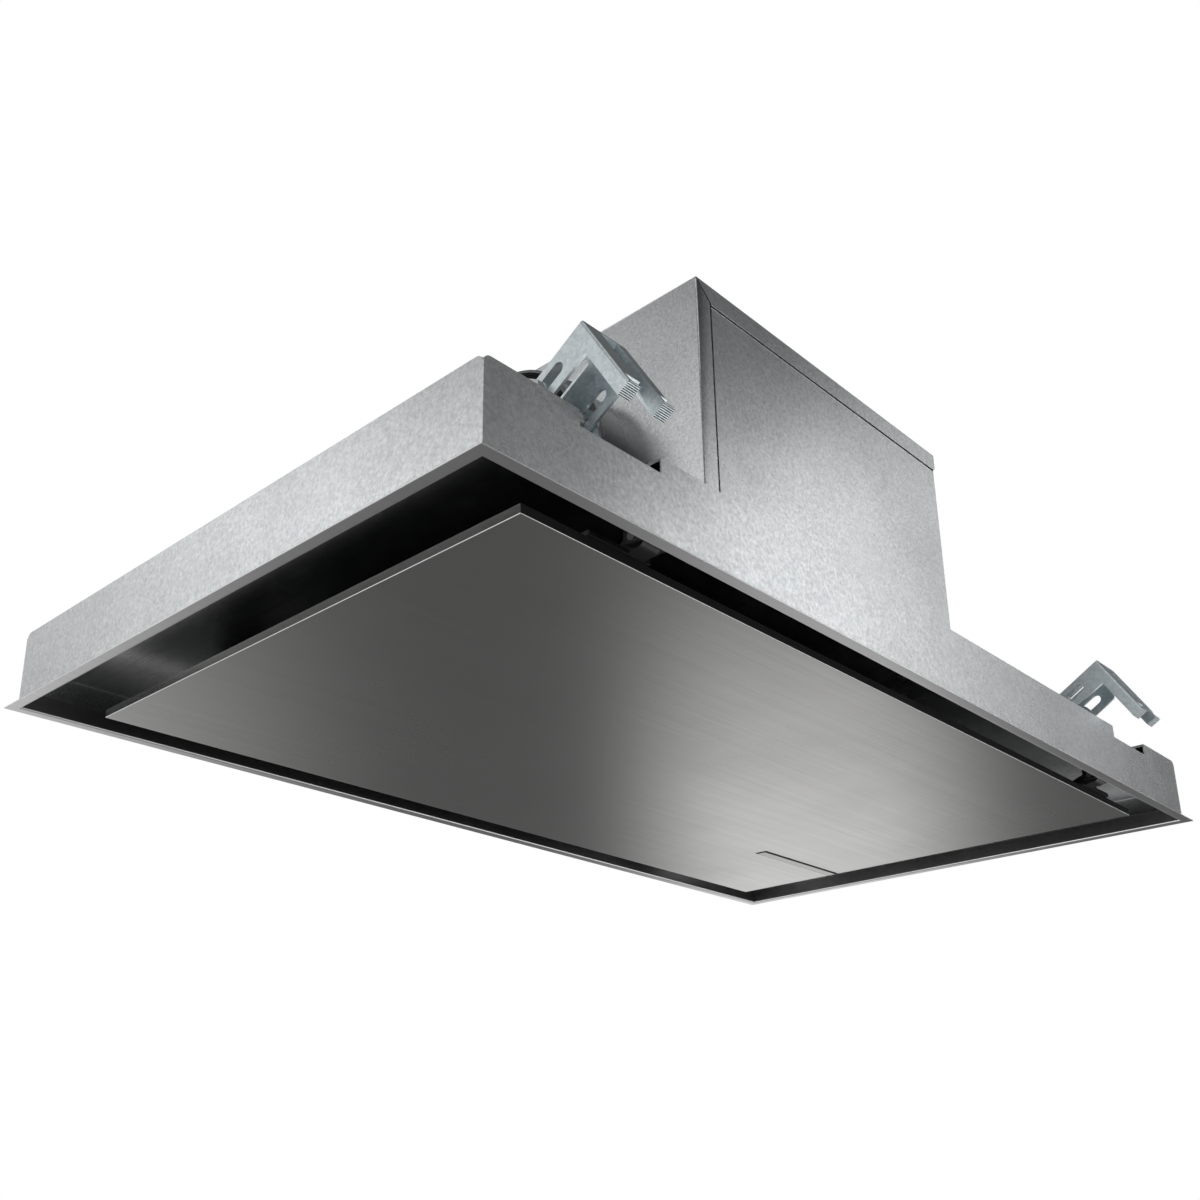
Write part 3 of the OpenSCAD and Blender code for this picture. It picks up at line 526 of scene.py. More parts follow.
def moulded_finish(name, dark, light, rough, coat=0.0):
    """Moulded plastic with a fine spark-eroded grain."""
    material, tree, place = new_finish(name)
    mask = marks(tree, place, 14.0)
    pits = noise(tree, place, 1600.0, 2.0, 0.6)[0]
    colour = mix_colour(tree, mix_value(tree, 0.4, mask, pits), dark, light)
    gloss = ramp(tree, mask, 0.0, 1.0, rough - 0.05, rough + 0.06)
    bump = (pits, 0.04 * MM, 0.25)
    return end_finish(material, colour, gloss, bump, **{"Coat Weight": coat})


def winding_finish(name, dark, light):
    """Varnished copper wire, wound round the motor's axis."""
    material, tree, place = new_finish(name)
    turns = add(
        tree, "ShaderNodeTexWave",
        {"Vector": place, "Scale": 190.0, "Distortion": 0.6, "Detail": 1.0},
        wave_type="BANDS", bands_direction="Z",
    ).outputs[1]
    gloss = ramp(tree, marks(tree, place, 40.0), 0.0, 1.0, 0.28, 0.42)
    colour = mix_colour(tree, turns, dark, light)
    return end_finish(material, colour, gloss, (turns, 0.3 * MM, 0.6), Metallic=0.9)


def board_finish(name, dark, light):
    """Lacquered circuit board with faint tracks."""
    material, tree, place = new_finish(name)
    tracks = add(
        tree, "ShaderNodeTexBrick",
        {
            "Vector": place, "Scale": 90.0, "Mortar Size": 0.03, "Color1": rgba(dark),
            "Color2": rgba(dark), "Mortar": rgba(light),
        },
    ).outputs
    gloss = ramp(tree, marks(tree, place, 60.0), 0.0, 1.0, 0.3, 0.45)
    return end_finish(material, tracks["Color"], gloss, (tracks["Fac"], 0.05 * MM, 0.4))


@cache
def finish(key):
    """The finish of that name, made when it is first asked for."""
    scene = bpy.context.scene
    sheet, panel, clamp = scene.hood_sheet, scene.hood_panel, scene.hood_clamp
    maker, *values = {
        "galvanised": (
            spangled_finish, "Galvanised sheet", sheet.zinc_dark, sheet.zinc_light,
            sheet.zinc_roughness, sheet.crystals, 0.1,
        ),
        "stainless": (
            brushed_finish, "Brushed stainless", panel.steel_dark, panel.steel_light,
            panel.steel_roughness, (5.0, 420.0, 420.0), 0.0,
        ),
        "flange": (
            brushed_finish, "Flange steel", (0.7, 0.7, 0.7), (0.8, 0.8, 0.795), 0.3,
            (16.0, 900.0, 900.0),
        ),
        # A darker copy of the flange steel: painted shade for the flange's inner leg.
        "flange_leg": (
            brushed_finish, "Flange leg steel", (0.24, 0.24, 0.24), (0.34, 0.34, 0.338), 0.34,
            (16.0, 900.0, 900.0),
        ),
        "liner": (
            brushed_finish, "Liner steel", (0.52, 0.52, 0.52), (0.66, 0.66, 0.655), 0.24,
            (900.0, 14.0, 900.0),
        ),
        "strip_metal": (
            brushed_finish, "Strip steel", (0.26, 0.26, 0.258), (0.36, 0.36, 0.355), 0.2,
            (30.0, 1600.0, 1600.0),
        ),
        "rotor_steel": (
            brushed_finish, "Rotor laminations", (0.2, 0.2, 0.205), (0.3, 0.3, 0.305), 0.4,
            (20.0, 20.0, 2400.0),
        ),
        "zinc": (
            spangled_finish, "Blue zinc plating", clamp.plate_dark, clamp.plate_light, 0.34,
            420.0, 0.3,
        ),
        "sole": (
            spangled_finish, "Toothed sole", (0.34, 0.36, 0.37), (0.62, 0.64, 0.66), 0.55,
            900.0, 0.6,
        ),
        "screw_steel": (
            spangled_finish, "Plated screw steel", (0.5, 0.5, 0.5), (0.64, 0.64, 0.63), 0.3,
            500.0, 0.2,
        ),
        "filter_metal": (
            spangled_finish, "Filter aluminium", (0.58, 0.585, 0.59), (0.72, 0.725, 0.73), 0.36,
            300.0, 0.15,
        ),
        "black_plastic": (
            moulded_finish, "Black moulding", (0.008, 0.008, 0.009), (0.016, 0.016, 0.018), 0.45,
        ),
        "grey_plastic": (
            moulded_finish, "Grey moulding", (0.06, 0.062, 0.066), (0.095, 0.098, 0.103), 0.26,
            0.8,
        ),
        # Painted shade: a near-black finish that stands for shade and dark reflections on the faces
        # it is given.
        "joint": (moulded_finish, "Dark joint", (0.006, 0.006, 0.006), (0.014, 0.014, 0.014), 0.7),
        "white_plastic": (
            moulded_finish, "White moulding", (0.66, 0.66, 0.64), (0.74, 0.74, 0.72), 0.42,
        ),
        "copper": (winding_finish, "Copper winding", (0.42, 0.17, 0.06), (0.78, 0.4, 0.2)),
        "board": (board_finish, "Circuit board", (0.02, 0.12, 0.045), (0.1, 0.3, 0.12)),
    }[key]
    return maker(*values)


def finish_for(node):
    return finish(SLOTS[node])


# Geometry node trees


def tree_input(modifier, label, value):
    """Sets a modifier's input through its socket's identifier."""
    for item in modifier.node_group.interface.items_tree:
        if item.item_type == "SOCKET" and item.in_out == "INPUT" and item.name == label:
            modifier[item.identifier] = value
            return
    raise ValueError(f"{modifier.node_group.name} has no input named {label}")


def grown(name, tree, mesh=None, **inputs):
    """A plain mesh from a tree of geometry nodes, with its modifier gone."""
    holder = linked(name + "_holder", mesh or bpy.data.meshes.new(name + "_start"))
    modifier = holder.modifiers.new("Pattern", "NODES")
    modifier.node_group = tree
    for label, value in inputs.items():
        tree_input(modifier, label.replace("_", " "), value)
    result = applied(holder, name)
    bpy.data.objects.remove(holder)
    return result


def on_points(tree, points, instance, rotation=(0.0, 0.0, 0.0)):
    return output(
        tree, "GeometryNodeInstanceOnPoints",
        {"Points": points, "Instance": instance, "Rotation": rotation},
    )


def close_tree(tree, given, end, geometry):
    """Ends a tree in Realize Instances and Set Material."""
    real = output(tree, "GeometryNodeRealizeInstances", {0: geometry})
    done = output(
        tree, "GeometryNodeSetMaterial", {"Geometry": real, "Material": given["Finish"]}
    )
    tree.links.new(done, end[0])
    return tree


def pattern(name, **inputs):
    """A new geometry tree. Its inputs are named with underscores for spaces."""
    labels = {label.replace("_", " "): default for label, default in inputs.items()}
    return new_group(
        name, "GeometryNodeTree", {**labels, "Finish": "Material"}, {"Geometry": "Geometry"}
    )


@cache
def seats_tree():
    """One copy of a part on each point, turned by a seeded random angle about Z."""
    tree, given, end = pattern(
        "Parts on seats", Seats="Geometry", Part="Object", Largest_Turn=3.1, Seed=7
    )
    part = add(tree, "GeometryNodeObjectInfo", {"Object": given["Part"]}).outputs["Geometry"]
    turn = add(
        tree, "FunctionNodeRandomValue",
        {2: 0.0, 3: given["Largest Turn"], "Seed": given["Seed"]}, data_type="FLOAT",
    ).outputs[1]
    copies = on_points(tree, given["Seats"], part, combined(tree, Z=turn))
    return close_tree(tree, given, end, copies)


@cache
def teeth_tree():
    """A row of three-sided ridges, each as long as the sole is wide."""
    tree, given, end = pattern(
        "Row of teeth", Count=8, Pitch=0.00125, Tooth_Radius=0.0007, Width=0.0094
    )
    row = output(
        tree, "GeometryNodeMeshLine",
        {"Count": given["Count"], "Offset": combined(tree, Y=given["Pitch"])}, mode="OFFSET",
    )
    ridge = output(
        tree, "GeometryNodeMeshCylinder",
        {"Vertices": 3, "Radius": given["Tooth Radius"], "Depth": given["Width"]},
    )
    lying = output(
        tree, "GeometryNodeTransform", {"Geometry": ridge, "Rotation": (0.0, math.pi / 2, 0.0)}
    )
    return close_tree(tree, given, end, on_points(tree, row, lying))


@cache
def lattice_tree():
    """Expanded metal: zigzag strands side by side, which meet in diamonds."""
    tree, given, end = pattern(
        "Expanded metal", Strands=60, Points=58, Half_Cell=0.004, Row_Pitch=0.004,
        Swing=0.0019, Strand_Radius=0.0004,
    )

    def span(count, pitch):
        return math_node(tree, "MULTIPLY", pitch, math_node(tree, "SUBTRACT", count, 1.0))

    def number(place, pitch):
        """The number of a row or column, counted from a metre mark that keeps it positive."""
        far_out = math_node(tree, "ADD", place, 1000.0)
        return math_node(tree, "ROUND", math_node(tree, "DIVIDE", far_out, pitch))

    grid = add(
        tree, "GeometryNodeMeshGrid",
        {
            "Size X": span(given["Points"], given["Half Cell"]),
            "Size Y": span(given["Strands"], given["Row Pitch"]),
            "Vertices X": given["Points"], "Vertices Y": given["Strands"],
        },
    ).outputs["Mesh"]
    ends = add(tree, "GeometryNodeInputMeshEdgeVertices").outputs
    gap = vector_node(tree, "SUBTRACT", ends["Position 1"], ends["Position 2"])
    across = add(tree, "ShaderNodeSeparateXYZ", {0: gap}).outputs["Y"]
    crosses = output(
        tree, "FunctionNodeCompare", {0: math_node(tree, "ABSOLUTE", across), 1: 1e-5},
        data_type="FLOAT", operation="GREATER_THAN",
    )
    bare = output(
        tree, "GeometryNodeDeleteGeometry", {"Geometry": grid}, domain="FACE", mode="ONLY_FACE"
    )
    rows = output(
        tree, "GeometryNodeDeleteGeometry", {"Geometry": bare, "Selection": crosses},
        domain="EDGE", mode="EDGE_FACE",
    )
    where = add(
        tree, "ShaderNodeSeparateXYZ", {0: output(tree, "GeometryNodeInputPosition")}
    ).outputs
    column = number(where["X"], given["Half Cell"])
    line = number(where["Y"], given["Row Pitch"])
    odd = math_node(tree, "FLOORED_MODULO", math_node(tree, "ADD", column, line), 2.0)
    side = math_node(tree, "SUBTRACT", math_node(tree, "MULTIPLY", odd, 2.0), 1.0)
    shift = combined(
        tree, Y=math_node(tree, "MULTIPLY", side, given["Swing"]),
        Z=math_node(tree, "MULTIPLY", side, given["Strand Radius"]),
    )
    bent = output(tree, "GeometryNodeSetPosition", {"Geometry": rows, "Offset": shift})
    section = output(
        tree, "GeometryNodeCurvePrimitiveCircle",
        {"Resolution": 4, "Radius": given["Strand Radius"]}, mode="RADIUS",
    )
    solid = output(
        tree, "GeometryNodeCurveToMesh",
        {
            "Curve": output(tree, "GeometryNodeMeshToCurve", {0: bent}),
            "Profile Curve": section, "Fill Caps": True,
        },
    )
    return close_tree(tree, given, end, solid)


@cache
def blades_tree():
    """Blades of a forward-curved fan wheel, as a cambered plate copied round a circle."""
    tree, given, end = pattern(
        "Blade wheel", Blades=36, Wheel_Radius=0.0875, Chord=0.0128, Height=0.12,
        Camber=0.0022, Thickness=0.0009, Lean=0.61,
    )
    size = combined(tree, X=given["Chord"], Y=given["Thickness"], Z=given["Height"])
    plate = output(tree, "GeometryNodeMeshCube", {"Size": size, "Vertices X": 8})
    where = output(tree, "ShaderNodeSeparateXYZ", {0: output(tree, "GeometryNodeInputPosition")})
    reach = math_node(tree, "DIVIDE", where, math_node(tree, "MULTIPLY", given["Chord"], 0.5))
    arc = math_node(tree, "SUBTRACT", 1.0, math_node(tree, "MULTIPLY", reach, reach))
    curve = combined(tree, Y=math_node(tree, "MULTIPLY", arc, given["Camber"]))
    bent = output(tree, "GeometryNodeSetPosition", {"Geometry": plate, "Offset": curve})
    leaning = output(
        tree, "GeometryNodeTransform",
        {"Geometry": bent, "Rotation": combined(tree, Z=given["Lean"])},
    )
    circle = output(
        tree, "GeometryNodeMeshCircle",
        {"Vertices": given["Blades"], "Radius": given["Wheel Radius"]},
    )
    step = math_node(tree, "DIVIDE", 2 * math.pi, given["Blades"])
    turn = math_node(tree, "MULTIPLY", output(tree, "GeometryNodeInputIndex"), step)
    wheel = on_points(tree, circle, leaning, combined(tree, Z=turn))
    return close_tree(tree, given, end, wheel)


# The studio, in patches: brightness, then in degrees the middle and half width round
# the vertical axis from +X, the lowest and highest elevation, and the soft edge.

BARE_STUDIO = 0.62  # the brightness where no patch lies
STUDIO = (
    (0.12, -10.0, 70.0, -90.0, 90.0, 20.0),
    (0.13, 20.0, 60.0, -90.0, -6.0, 8.0),
    (0.9, 92.0, 22.0, -90.0, -6.0, 20.0),
    (1.5, 138.0, 32.0, -62.0, -16.0, 8.0),
    (1.6, -27.0, 16.0, -55.0, -16.0, 8.0),
    (0.06, -127.0, 16.0, 2.0, 40.0, 12.0),
    (0.2, 142.0, 22.0, 38.0, 68.0, 8.0),
    (0.15, 100.0, 10.0, -4.0, 44.0, 8.0),
    (0.02, -11.5, 13.5, -10.0, 50.0, 6.0),
    (0.6, 16.0, 9.0, 16.0, 28.0, 5.0),
    (1.15, 33.0, 2.5, -45.0, -6.0, 7.0),
    (0.13, 33.0, 30.0, -90.0, -29.0, 12.0),
    (2.08, -33.8, 3.6, -4.0, 28.5, 4.8),
    (1.3, 128.5, 9.0, -4.0, 29.0, 8.0),
    (0.22, -66.0, 18.0, -2.0, 50.0, 10.0),
)

# Settings that a user would change


def length(name, description, default, low, high):
    """A length, given in millimetres."""
    return FloatProperty(
        name=name, description=description, default=default * MM, min=low * MM, max=high * MM,
        unit="LENGTH", precision=5,
    )


def colour(name, description, default):
    return FloatVectorProperty(
        name=name, description=description, default=default, subtype="COLOR", min=0.0, max=1.0
    )


def roughness(name, description, default):
    return FloatProperty(
        name=name, description=description, default=default, subtype="FACTOR", min=0.1, max=0.8
    )


def power(name, description, default):
    return FloatProperty(
        name=name, description=description, default=default, unit="POWER", min=0.0, max=200.0
    )


class HoodSheetSettings(PropertyGroup):
    """Folded sheet of the housing and the blower box"""

    fold_radius: length("Fold Radius", "Outer radius of the sheet's folds", 1.3, 0.3, 3)
    edge_radius: length("Edge Radius", "Radius of the cut edges", 0.2, 0.05, 0.4)
    crystals: FloatProperty(
        name="Crystals per Metre", description="How many zinc crystals lie side by side in a metre",
        default=480.0, min=60.0, max=1500.0,
    )
    zinc_dark: colour("Dark Zinc", "Colour of the darkest crystals", (0.465, 0.48, 0.49))
    zinc_light: colour("Light Zinc", "Colour of the lightest crystals", (0.745, 0.765, 0.775))
    zinc_roughness: roughness("Zinc Roughness", "Roughness of the zinc coat", 0.245)


class HoodPanelSettings(PropertyGroup):
    """Cover panel of brushed steel"""

    rim_radius: length(
        "Rim Radius", "Outer radius where the panel turns up into its rim", 1.5, 0.2, 2
    )
    steel_dark: colour("Dark Steel", "Colour of the deepest streaks", (0.472, 0.468, 0.46))
    steel_light: colour("Light Steel", "Colour of the brightest streaks", (0.518, 0.515, 0.508))
    steel_roughness: roughness("Steel Roughness", "Roughness of the brushed face", 0.24)


class HoodClampSettings(PropertyGroup):
    """Clamp brackets of zinc plated sheet"""

    bend_radius: length("Bend Radius", "Outer radius of the bracket's bends", 1.6, 0.5, 3)
    tooth_pitch: length(
        "Tooth Pitch", "Distance from tooth to tooth under a foot", 1.25, 0.8, 2.5
    )
    teeth: IntProperty(
        name="Teeth", description="Number of teeth under a foot", default=8, min=3, max=12
    )
    plate_dark: colour("Dark Plating", "Darker tone of the blue zinc", (0.58, 0.645, 0.67))
    plate_light: colour("Light Plating", "Lighter tone of the blue zinc", (0.76, 0.82, 0.845))


class HoodFilterSettings(PropertyGroup):
    """Grease filters of expanded metal"""

    cell: length("Cell", "Length of one diamond of the expanded metal", 8, 4, 20)
    strand: length("Strand", "Radius of one strand", 0.42, 0.2, 0.8)


class HoodBlowerSettings(PropertyGroup):
    """Blower, collar and screws"""

    moulding_radius: length(
        "Moulding Radius", "Radius of the mouldings' outer edges", 0.6, 0.1, 1.2
    )
    camber: length("Blade Camber", "How far a blade bows out of its chord", 1.3, 0.0, 3)
    turn_seed: IntProperty(
        name="Screw Turn Seed", description="Seed of the screws' random turns", default=7, min=0
    )


class HoodStageSettings(PropertyGroup):
    """Floor, lamps and background"""

    floor_level: FloatProperty(
        name="Floor Level", description="Height of the floor, below the opened cover panel",
        default=-1.7, min=-3.0, max=-0.45, unit="LENGTH",
    )
    floor_colour: colour("Floor Colour", "Colour of the plain floor", (0.86, 0.86, 0.86))
    key_power: power("Key Power", "Power of the large lamp on the left", 5.0)
    fill_power: power("Fill Power", "Power of the lamp at the front", 3.0)


# Operators, one for each piece or group of like pieces


class HoodBuilder:
    """What the operators share"""

    bl_options = {"REGISTER", "UNDO"}

    def execute(self, context):
        self.build(context.scene)
        return {"FINISHED"}


class HOOD_OT_flange(HoodBuilder, Operator):
    """Builds the visible ring with its rolled edges"""

    bl_idname = "hood.build_flange"
    bl_label = "Build Flange"

    def build(self, scene):
        low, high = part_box("flange_frame")
        sheet, roll = 1.6 * MM, 0.42 * MM
        sides = either(on_plane(0, low.x, high.x), on_plane(1, low.y, high.y))
        under = both(on_plane(2, low.z), longer_than(300 * MM))
        folds = (
            (roll, 3, both(sides, longer_than(50 * MM))),
            (scene.hood_sheet.fold_radius, 4, under),
        )
        ring = dress("flange_frame", "flange_ring", folds, finish=finish("flange"))
        # The inner leg's upright faces get the darker flange steel: painted shade in the gap.
        paint_shade(ring, lambda at, out: at.z > low.z + sheet and abs(out.z) < 0.5, "flange_leg")


class HOOD_OT_housing(HoodBuilder, Operator):
    """Builds the low galvanised walls with their folded lip"""

    bl_idname = "hood.build_housing"
    bl_label = "Build Housing"

    def build(self, scene):
        low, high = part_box("housing_shell")
        fold = scene.hood_sheet.fold_radius
        folds = ((fold, 4, tray_folds(low, high, high.z, 40 * MM, 20 * MM)),)
        walls = dress("housing_shell", "housing_walls", folds, scene.hood_sheet.edge_radius)

        # The outer faces of the top fold get the near-black finish: a painted dark reflection along
        # the lip.
        def painted_dark_top_fold(at, out):
            outer = abs(at.x) > high.x - fold or abs(at.y) > high.y - fold
            return outer and at.z > high.z - fold and 0.4 < out.z < 0.9
        paint_shade(walls, painted_dark_top_fold)


class HOOD_OT_decks(HoodBuilder, Operator):
    """Builds the deck inside the top of the walls and the liner over the intake gap"""

    bl_idname = "hood.build_decks"
    bl_label = "Build Deck and Liner"

    def build(self, scene):
        sheet = scene.hood_sheet
        dress("top_deck", "deck_plate", (), sheet.edge_radius)
        under = both(on_plane(2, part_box("intake_liner")[0].z), longer_than(400 * MM))
        dress(
            "intake_liner", "liner_sheet", ((sheet.fold_radius, 3, under),), sheet.edge_radius,
            finish("liner"),
        )


class HOOD_OT_panel(HoodBuilder, Operator):
    """Builds the cover panel, its backing and its bare strip"""

    bl_idname = "hood.build_panel"
    bl_label = "Build Cover Panel"

    def build(self, scene):
        low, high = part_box("cover_panel")
        folds = tray_folds(low, high, low.z, 20 * MM, 3 * MM)
        radius = scene.hood_panel.rim_radius
        face = dress("cover_panel", "panel_face", ((radius, 5, folds),), 0.15 * MM)
        rim = low.z + 1.4 * MM
        # The rim's upright faces, all but those facing -X, get the near-black finish: a painted
        # reflection of the dark inside of the hood.
        paint_shade(face, lambda at, out: at.z > rim and abs(out.z) < 0.5 and out.x > -0.5)
        dress("panel_backing", "panel_backing_tray")
        self.strip()

    def strip(self):
        """The bare strip, slanted on the two sides that face the hood's near left corner."""
        low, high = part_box("badge_strip")
        slant = (high.y - low.y) * 0.32
        bm = bmesh.new()

        def ring(left, near, z):
            corners = ((left, near), (high.x, near), (high.x, high.y), (left, high.y))
            return [bm.verts.new((x, y, z)) for x, y in corners]
        upper = ring(low.x, low.y, high.z)
        lower = ring(low.x + slant, low.y + slant, low.z)
        bm.faces.new(upper)
        bm.faces.new(lower[::-1])
        for i in range(4):
            j = (i + 1) % 4
            bm.faces.new((upper[i], lower[i], lower[j], upper[j]))
        bmesh.ops.recalc_face_normals(bm, faces=bm.faces)
        strip = stand_for(bm, "panel_strip", "badge_strip")
        # The slanted sides get the near-black finish: a painted shadow gap round the strip.
        paint_shade(strip, lambda at, out: out.x < -0.05 or out.y < -0.05)


class HOOD_OT_hinges(HoodBuilder, Operator):
    """Builds the black hinges in the front gap, their pins and the catches"""

    bl_idname = "hood.build_hinges"
    bl_label = "Build Hinges and Catches"

    def build(self, scene):
        for side in ("left", "right"):
            dress("hinge_bracket_" + side, "hinge_ears_" + side, edge=0.5 * MM)
            dress("hinge_arm_" + side, "hinge_arm_body_" + side, edge=0.5 * MM)
            dress("panel_catch_" + side, "catch_magnet_" + side, edge=0.5 * MM)
        dress("catch_plates", "catch_steels", edge=0.3 * MM)
        keep("hinge_pins", finish("rotor_steel"))


class HOOD_OT_filters(HoodBuilder, Operator):
    """Builds the grease filters with their layers of expanded metal"""

    bl_idname = "hood.build_filters"
    bl_label = "Build Grease Filters"

    def build(self, scene):
        strand = scene.hood_filter.strand
        pitch = scene.hood_filter.cell / 2
        edge, swing = 1.2 * MM, pitch * 0.46
        outer_layer, shade_sheet_low, shade_sheet_high = strand * 2.2, strand * 2.2, strand * 3.5
        for side in ("left", "right"):
            dress("filter_frame_" + side, "filter_rim_" + side, edge=0.4 * MM)
            dress("filter_latch_" + side, "filter_handle_" + side, edge=0.6 * MM)
            node = "filter_mesh_" + side
            low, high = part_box(node)
            middle = (low + high) / 2
            span = high - low
            bm = bmesh.new()
            levels = (low.z + outer_layer, middle.z, high.z - outer_layer)
            for layer, z in enumerate(levels):
                mesh = grown(
                    f"lattice_{side}_{layer}", lattice_tree(),
                    Strands=int((span.y - 2 * edge) / pitch) - layer % 2,
                    Points=int((span.x - 2 * edge) / pitch) - layer % 2,
                    Half_Cell=pitch, Row_Pitch=pitch, Swing=swing,
                    Strand_Radius=strand, Finish=finish_for(node),
                )
                mesh.transform(Matrix.Translation((middle.x, middle.y, z)))
                bm.from_mesh(mesh)
            self.clear_pocket(bm, "filter_latch_" + side)
            # A thin sheet just above the middle layer, its broad faces near black: painted shade
            # seen through the expanded metal.
            shade_sheet = solid_copy(node)
            for vert in shade_sheet.verts:
                vert.co.z = middle.z + (shade_sheet_high if vert.co.z > middle.z else shade_sheet_low)
            bm.from_mesh(mesh_from(shade_sheet, "shade_sheet_" + side))
            layers = stand_for(bm, "filter_layers_" + side, node)
            paint_shade(layers, lambda at, out: abs(out.z) > 0.95)

    def clear_pocket(self, bm, latch):
        """Cuts the strands back to the walls of the pocket in which the latch slides."""
        low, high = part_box(latch)
        into_wall, travel = 3 * MM, 9.5 * MM
        far = high.y + travel + into_wall

        def inside(vert, margin=0.0):
            across = low.x - into_wall - margin < vert.co.x < high.x + into_wall + margin
            return across and vert.co.y < far + margin
        bmesh.ops.delete(bm, geom=[v for v in bm.verts if inside(v)], context="VERTS")
        ends = [
            e for e in bm.edges if e.is_boundary and all(inside(v, 6 * MM) for v in e.verts)
        ]
        bmesh.ops.holes_fill(bm, edges=ends, sides=4)


class HOOD_OT_clamps(HoodBuilder, Operator):
    """Builds the fold-out clamp brackets with toothed soles, and what they turn on"""

    bl_idname = "hood.build_clamps"
    bl_label = "Build Clamp Brackets"

    tilt = math.radians(31.1)
    width = 38.5 * MM
    bolt_along = 47 * MM
    bolt_down = 10 * MM
    arm_length = 65 * MM
    arm_depth = 10 * MM
    arm_step = 29 * MM

    def build(self, scene):
        clamp = scene.hood_clamp
        for end in ("front", "back"):
            for side in ("left", "right"):
                place = f"{end}_{side}"
                node = "clamp_bracket_" + place
                local = self.frame_of(place, end == "back")
                inverse = local.inverted()
                bends = (clamp.bend_radius, 4, lambda edge: self.is_bend(edge, inverse))
                dress(node, "bracket_" + place, (bends,), 0.25 * MM)
                self.add_teeth(clamp, place, local, node)
                keep("clamp_carrier_" + place)
        keep("clamp_bolts")
        keep("clamp_nuts")

    def frame_of(self, place, back):
        """The bracket's own frame: X across it, Y along its leg to the pivot, Z up its leg."""
        turn = Matrix.Rotation(math.pi if back else 0.0, 4, "Z")
        lean = Matrix.Rotation(-self.tilt, 4, "X")
        pivot = Matrix.Translation(PIVOTS[f"clamp_{place}_pivot"])
        return pivot @ turn @ lean @ Matrix.Translation((-self.width / 2, 0, 0))

    def is_bend(self, edge, inverse):
        """Whether the edge is a bend between the bracket's web and its cheeks or flanges."""
        a, b = (inverse @ v.co for v in edge.verts)
        reach = 0.05 * MM
        at_side = any(abs(a.x - x) < reach and abs(b.x - x) < reach for x in (0.0, self.width))
        on_top = all(abs(p.z - self.bolt_down) < reach for p in (a, b))
        on_front = all(abs(p.y + self.bolt_along) < reach for p in (a, b))
        return (b - a).length > 18 * MM and at_side and (on_top or on_front)

    def add_teeth(self, clamp, place, local, node):
        foot = self.width - self.arm_step
        pitch = clamp.tooth_pitch
        first = -self.bolt_along + (self.arm_depth - pitch * (clamp.teeth - 1)) / 2
        sole = self.bolt_down - self.arm_length
        bm = bmesh.new()
        for x in (foot / 2, self.arm_step + foot / 2):
            mesh = grown(
                "teeth", teeth_tree(), Count=clamp.teeth, Pitch=pitch,
                Tooth_Radius=pitch * 0.56, Width=foot - 0.3 * MM, Finish=finish("sole"),
            )
            mesh.transform(local @ Matrix.Translation((x, first, sole)))
            bm.from_mesh(mesh)
        name = "sole_teeth_" + place
        ride_with(piece_from(mesh_from(bm, name), name, finish("sole")), node)


